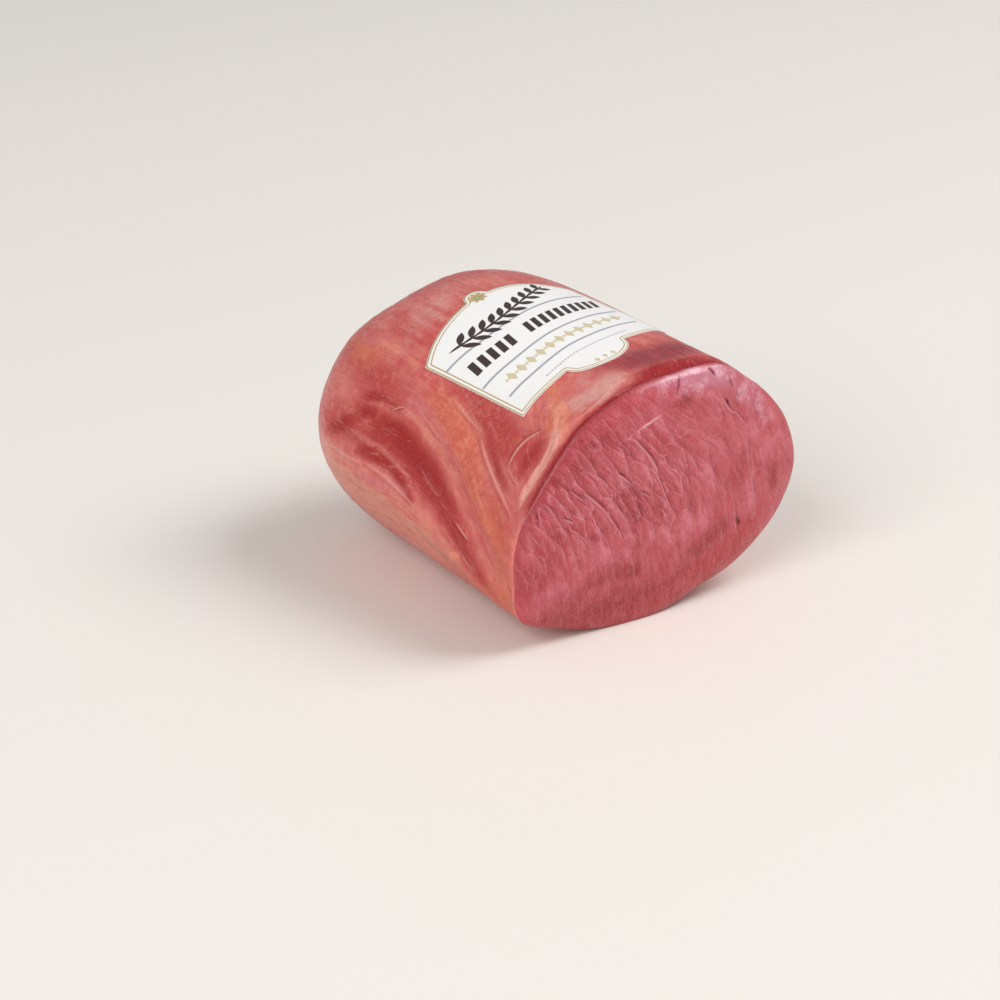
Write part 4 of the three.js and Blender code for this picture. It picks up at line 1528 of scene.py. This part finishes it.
def sprig_mask(nodes, place):
    """A stem of short overlapping strokes with a pair of leaves at each."""
    masks = []
    for k in range(SPRIG_LEAVES + 1):
        a, b, turn = sprig_point(k / SPRIG_LEAVES)
        masks.append(leaf_mask(nodes, place, a, b, turn, *STEM_STROKE))
        reach = LEAF_REACH[0] - LEAF_REACH[1] * k
        length = LEAF_LENGTH[0] - LEAF_LENGTH[1] * k
        for side in (-1, 1):
            leaf_turn = turn + side * LEAF_TURN
            middle = (a + reach * math.cos(leaf_turn), b + reach * math.sin(leaf_turn))
            masks.append(leaf_mask(nodes, place, *middle, leaf_turn, length, LEAF_WIDTH))
    return join_masks(nodes, masks)


def rosette_mask(nodes, place, petals, reach):
    masks = []
    for k in range(petals):
        turn = 2 * math.pi * k / petals
        middle = (ROSETTE_MIDDLE[0] + reach * math.cos(turn), ROSETTE_MIDDLE[1] + reach * math.sin(turn))
        masks.append(leaf_mask(nodes, place, *middle, turn, PETAL_LENGTH * reach, PETAL_WIDTH * reach))
    return join_masks(nodes, masks)


# %% The whole print
def print_colour(nodes, place, inset):
    """The paper with every ink over it."""
    return nodes.layers(PAPER_WHITE, (
        (INK_GOLD, border_mask(nodes, inset), 1.0),
        (INK_GREY, row_mask(nodes, place, RULES), 0.85),
        (INK_GREY, row_mask(nodes, place, DOTS), 0.7),
        (INK_PALE_GOLD, row_mask(nodes, place, DIAMONDS), 0.9),
        (INK_DARK, row_mask(nodes, place, BARS), 1.0),
        (INK_DARK, sprig_mask(nodes, place), 1.0),
        (INK_GOLD, rosette_mask(nodes, place, petals=8, reach=2.3), 1.0),
        (INK_GREEN, rosette_mask(nodes, place, petals=6, reach=1.0), 1.0),
    ))


# %% Label material: coated paper, a little uneven where it follows the meat
LABEL_BUMP = 0.4 * MM


def label_material():
    material, nodes, shader = new_material("printed_paper", {})
    place = attribute(nodes, "print place", "Vector")
    uneven = mottle(nodes, place, size=12.0, detail=2.0)
    pulp = mottle(nodes, place, size=0.5, detail=2.0)
    nodes.feed(shader.inputs["Base Color"], print_colour(nodes, place, attribute(nodes, "inset")))
    height = nodes.plus(uneven, nodes.times(pulp, 0.06))
    bump = nodes.node("ShaderNodeBump", {"Strength": 0.3, "Distance": LABEL_BUMP, "Height": height})
    nodes.feed(shader.inputs["Normal"], bump.outputs["Normal"])
    nodes.feed(shader.inputs["Roughness"], nodes.blend(uneven, 0.42, 0.52))
    return material


label.data.materials.append(label_material())
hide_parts("label")
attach(label, "root")
print("label material", len(label.data.materials[0].node_tree.nodes), "nodes")

# %% [markdown]
# ## Floor, light and camera
# A plain pale floor catches the soft shadow. The light is a studio's: one
# large soft box above and to the right, a wide fill from the camera's side and
# a bright plain surround. A sky or a picture of a room would put its own
# shapes into the wet film. The camera looks down at the cut from its left.

# %% Floor
FLOOR_HALF = 3.0  # metres
FLOOR_FINISH = {"Base Color": srgb(240, 235, 228), "Roughness": 0.5}


def make_floor():
    corners = [(FLOOR_HALF * x, FLOOR_HALF * y, 0) for x, y in ((-1, -1), (1, -1), (1, 1), (-1, 1))]
    mesh = bpy.data.meshes.new("floor")
    mesh.from_pydata(corners, [], [(0, 1, 2, 3)])
    floor = bpy.data.objects.new("floor", mesh)
    bpy.context.scene.collection.objects.link(floor)
    floor.data.materials.append(new_material("pale_floor", FLOOR_FINISH)[0])


make_floor()


# %% Lights
LIGHT_TARGET = Vector((0, 0, 0.05))
SURROUND = 0.32


def soft_box(name, direction, distance, size, power):
    """A square area light that looks at the meat from a direction."""
    data = bpy.data.lights.new(name, "AREA")
    data.shape = "SQUARE"
    data.size = size
    data.energy = power
    light = bpy.data.objects.new(name, data)
    towards = Vector(direction).normalized()
    light.location = LIGHT_TARGET + towards * distance
    light.rotation_euler = towards.to_track_quat("Z", "Y").to_euler()
    bpy.context.scene.collection.objects.link(light)


def light_surround():
    world = bpy.data.worlds.new("surround")
    world.use_nodes = True
    background = world.node_tree.nodes["Background"]
    background.inputs["Color"].default_value = (1, 1, 1, 1)
    background.inputs["Strength"].default_value = SURROUND
    bpy.context.scene.world = world
    bpy.context.scene.view_settings.view_transform = "Standard"


soft_box("key", direction=(0.6, -0.3, 0.74), distance=4.0, size=2.2, power=100.0)
soft_box("fill", direction=(-0.95, -0.4, 0.7), distance=4.5, size=2.7, power=120.0)
light_surround()
print("lights", [light.name for light in bpy.data.lights])

# %% Camera at the photograph's angle
CAMERA_AZIMUTH = 34.85
CAMERA_PITCH = 23.2
CAMERA_PLACE = (-545.31 + AXIS_X, -675.92 + CUT_Y, 420.75)
LENS = 85.9
SENSOR = 36.0


def make_camera():
    data = bpy.data.cameras.new("camera")
    data.sensor_width = SENSOR
    data.lens = LENS
    camera = bpy.data.objects.new("camera", data)
    turn, pitch = math.radians(CAMERA_AZIMUTH), math.radians(CAMERA_PITCH)
    look = Vector((math.sin(turn) * math.cos(pitch), math.cos(turn) * math.cos(pitch), -math.sin(pitch)))
    camera.location = Vector(CAMERA_PLACE) * MM
    camera.rotation_euler = look.to_track_quat("-Z", "Y").to_euler()
    bpy.context.scene.collection.objects.link(camera)
    bpy.context.scene.camera = camera
    print("camera at", [round(c, 3) for c in camera.location])


make_camera()
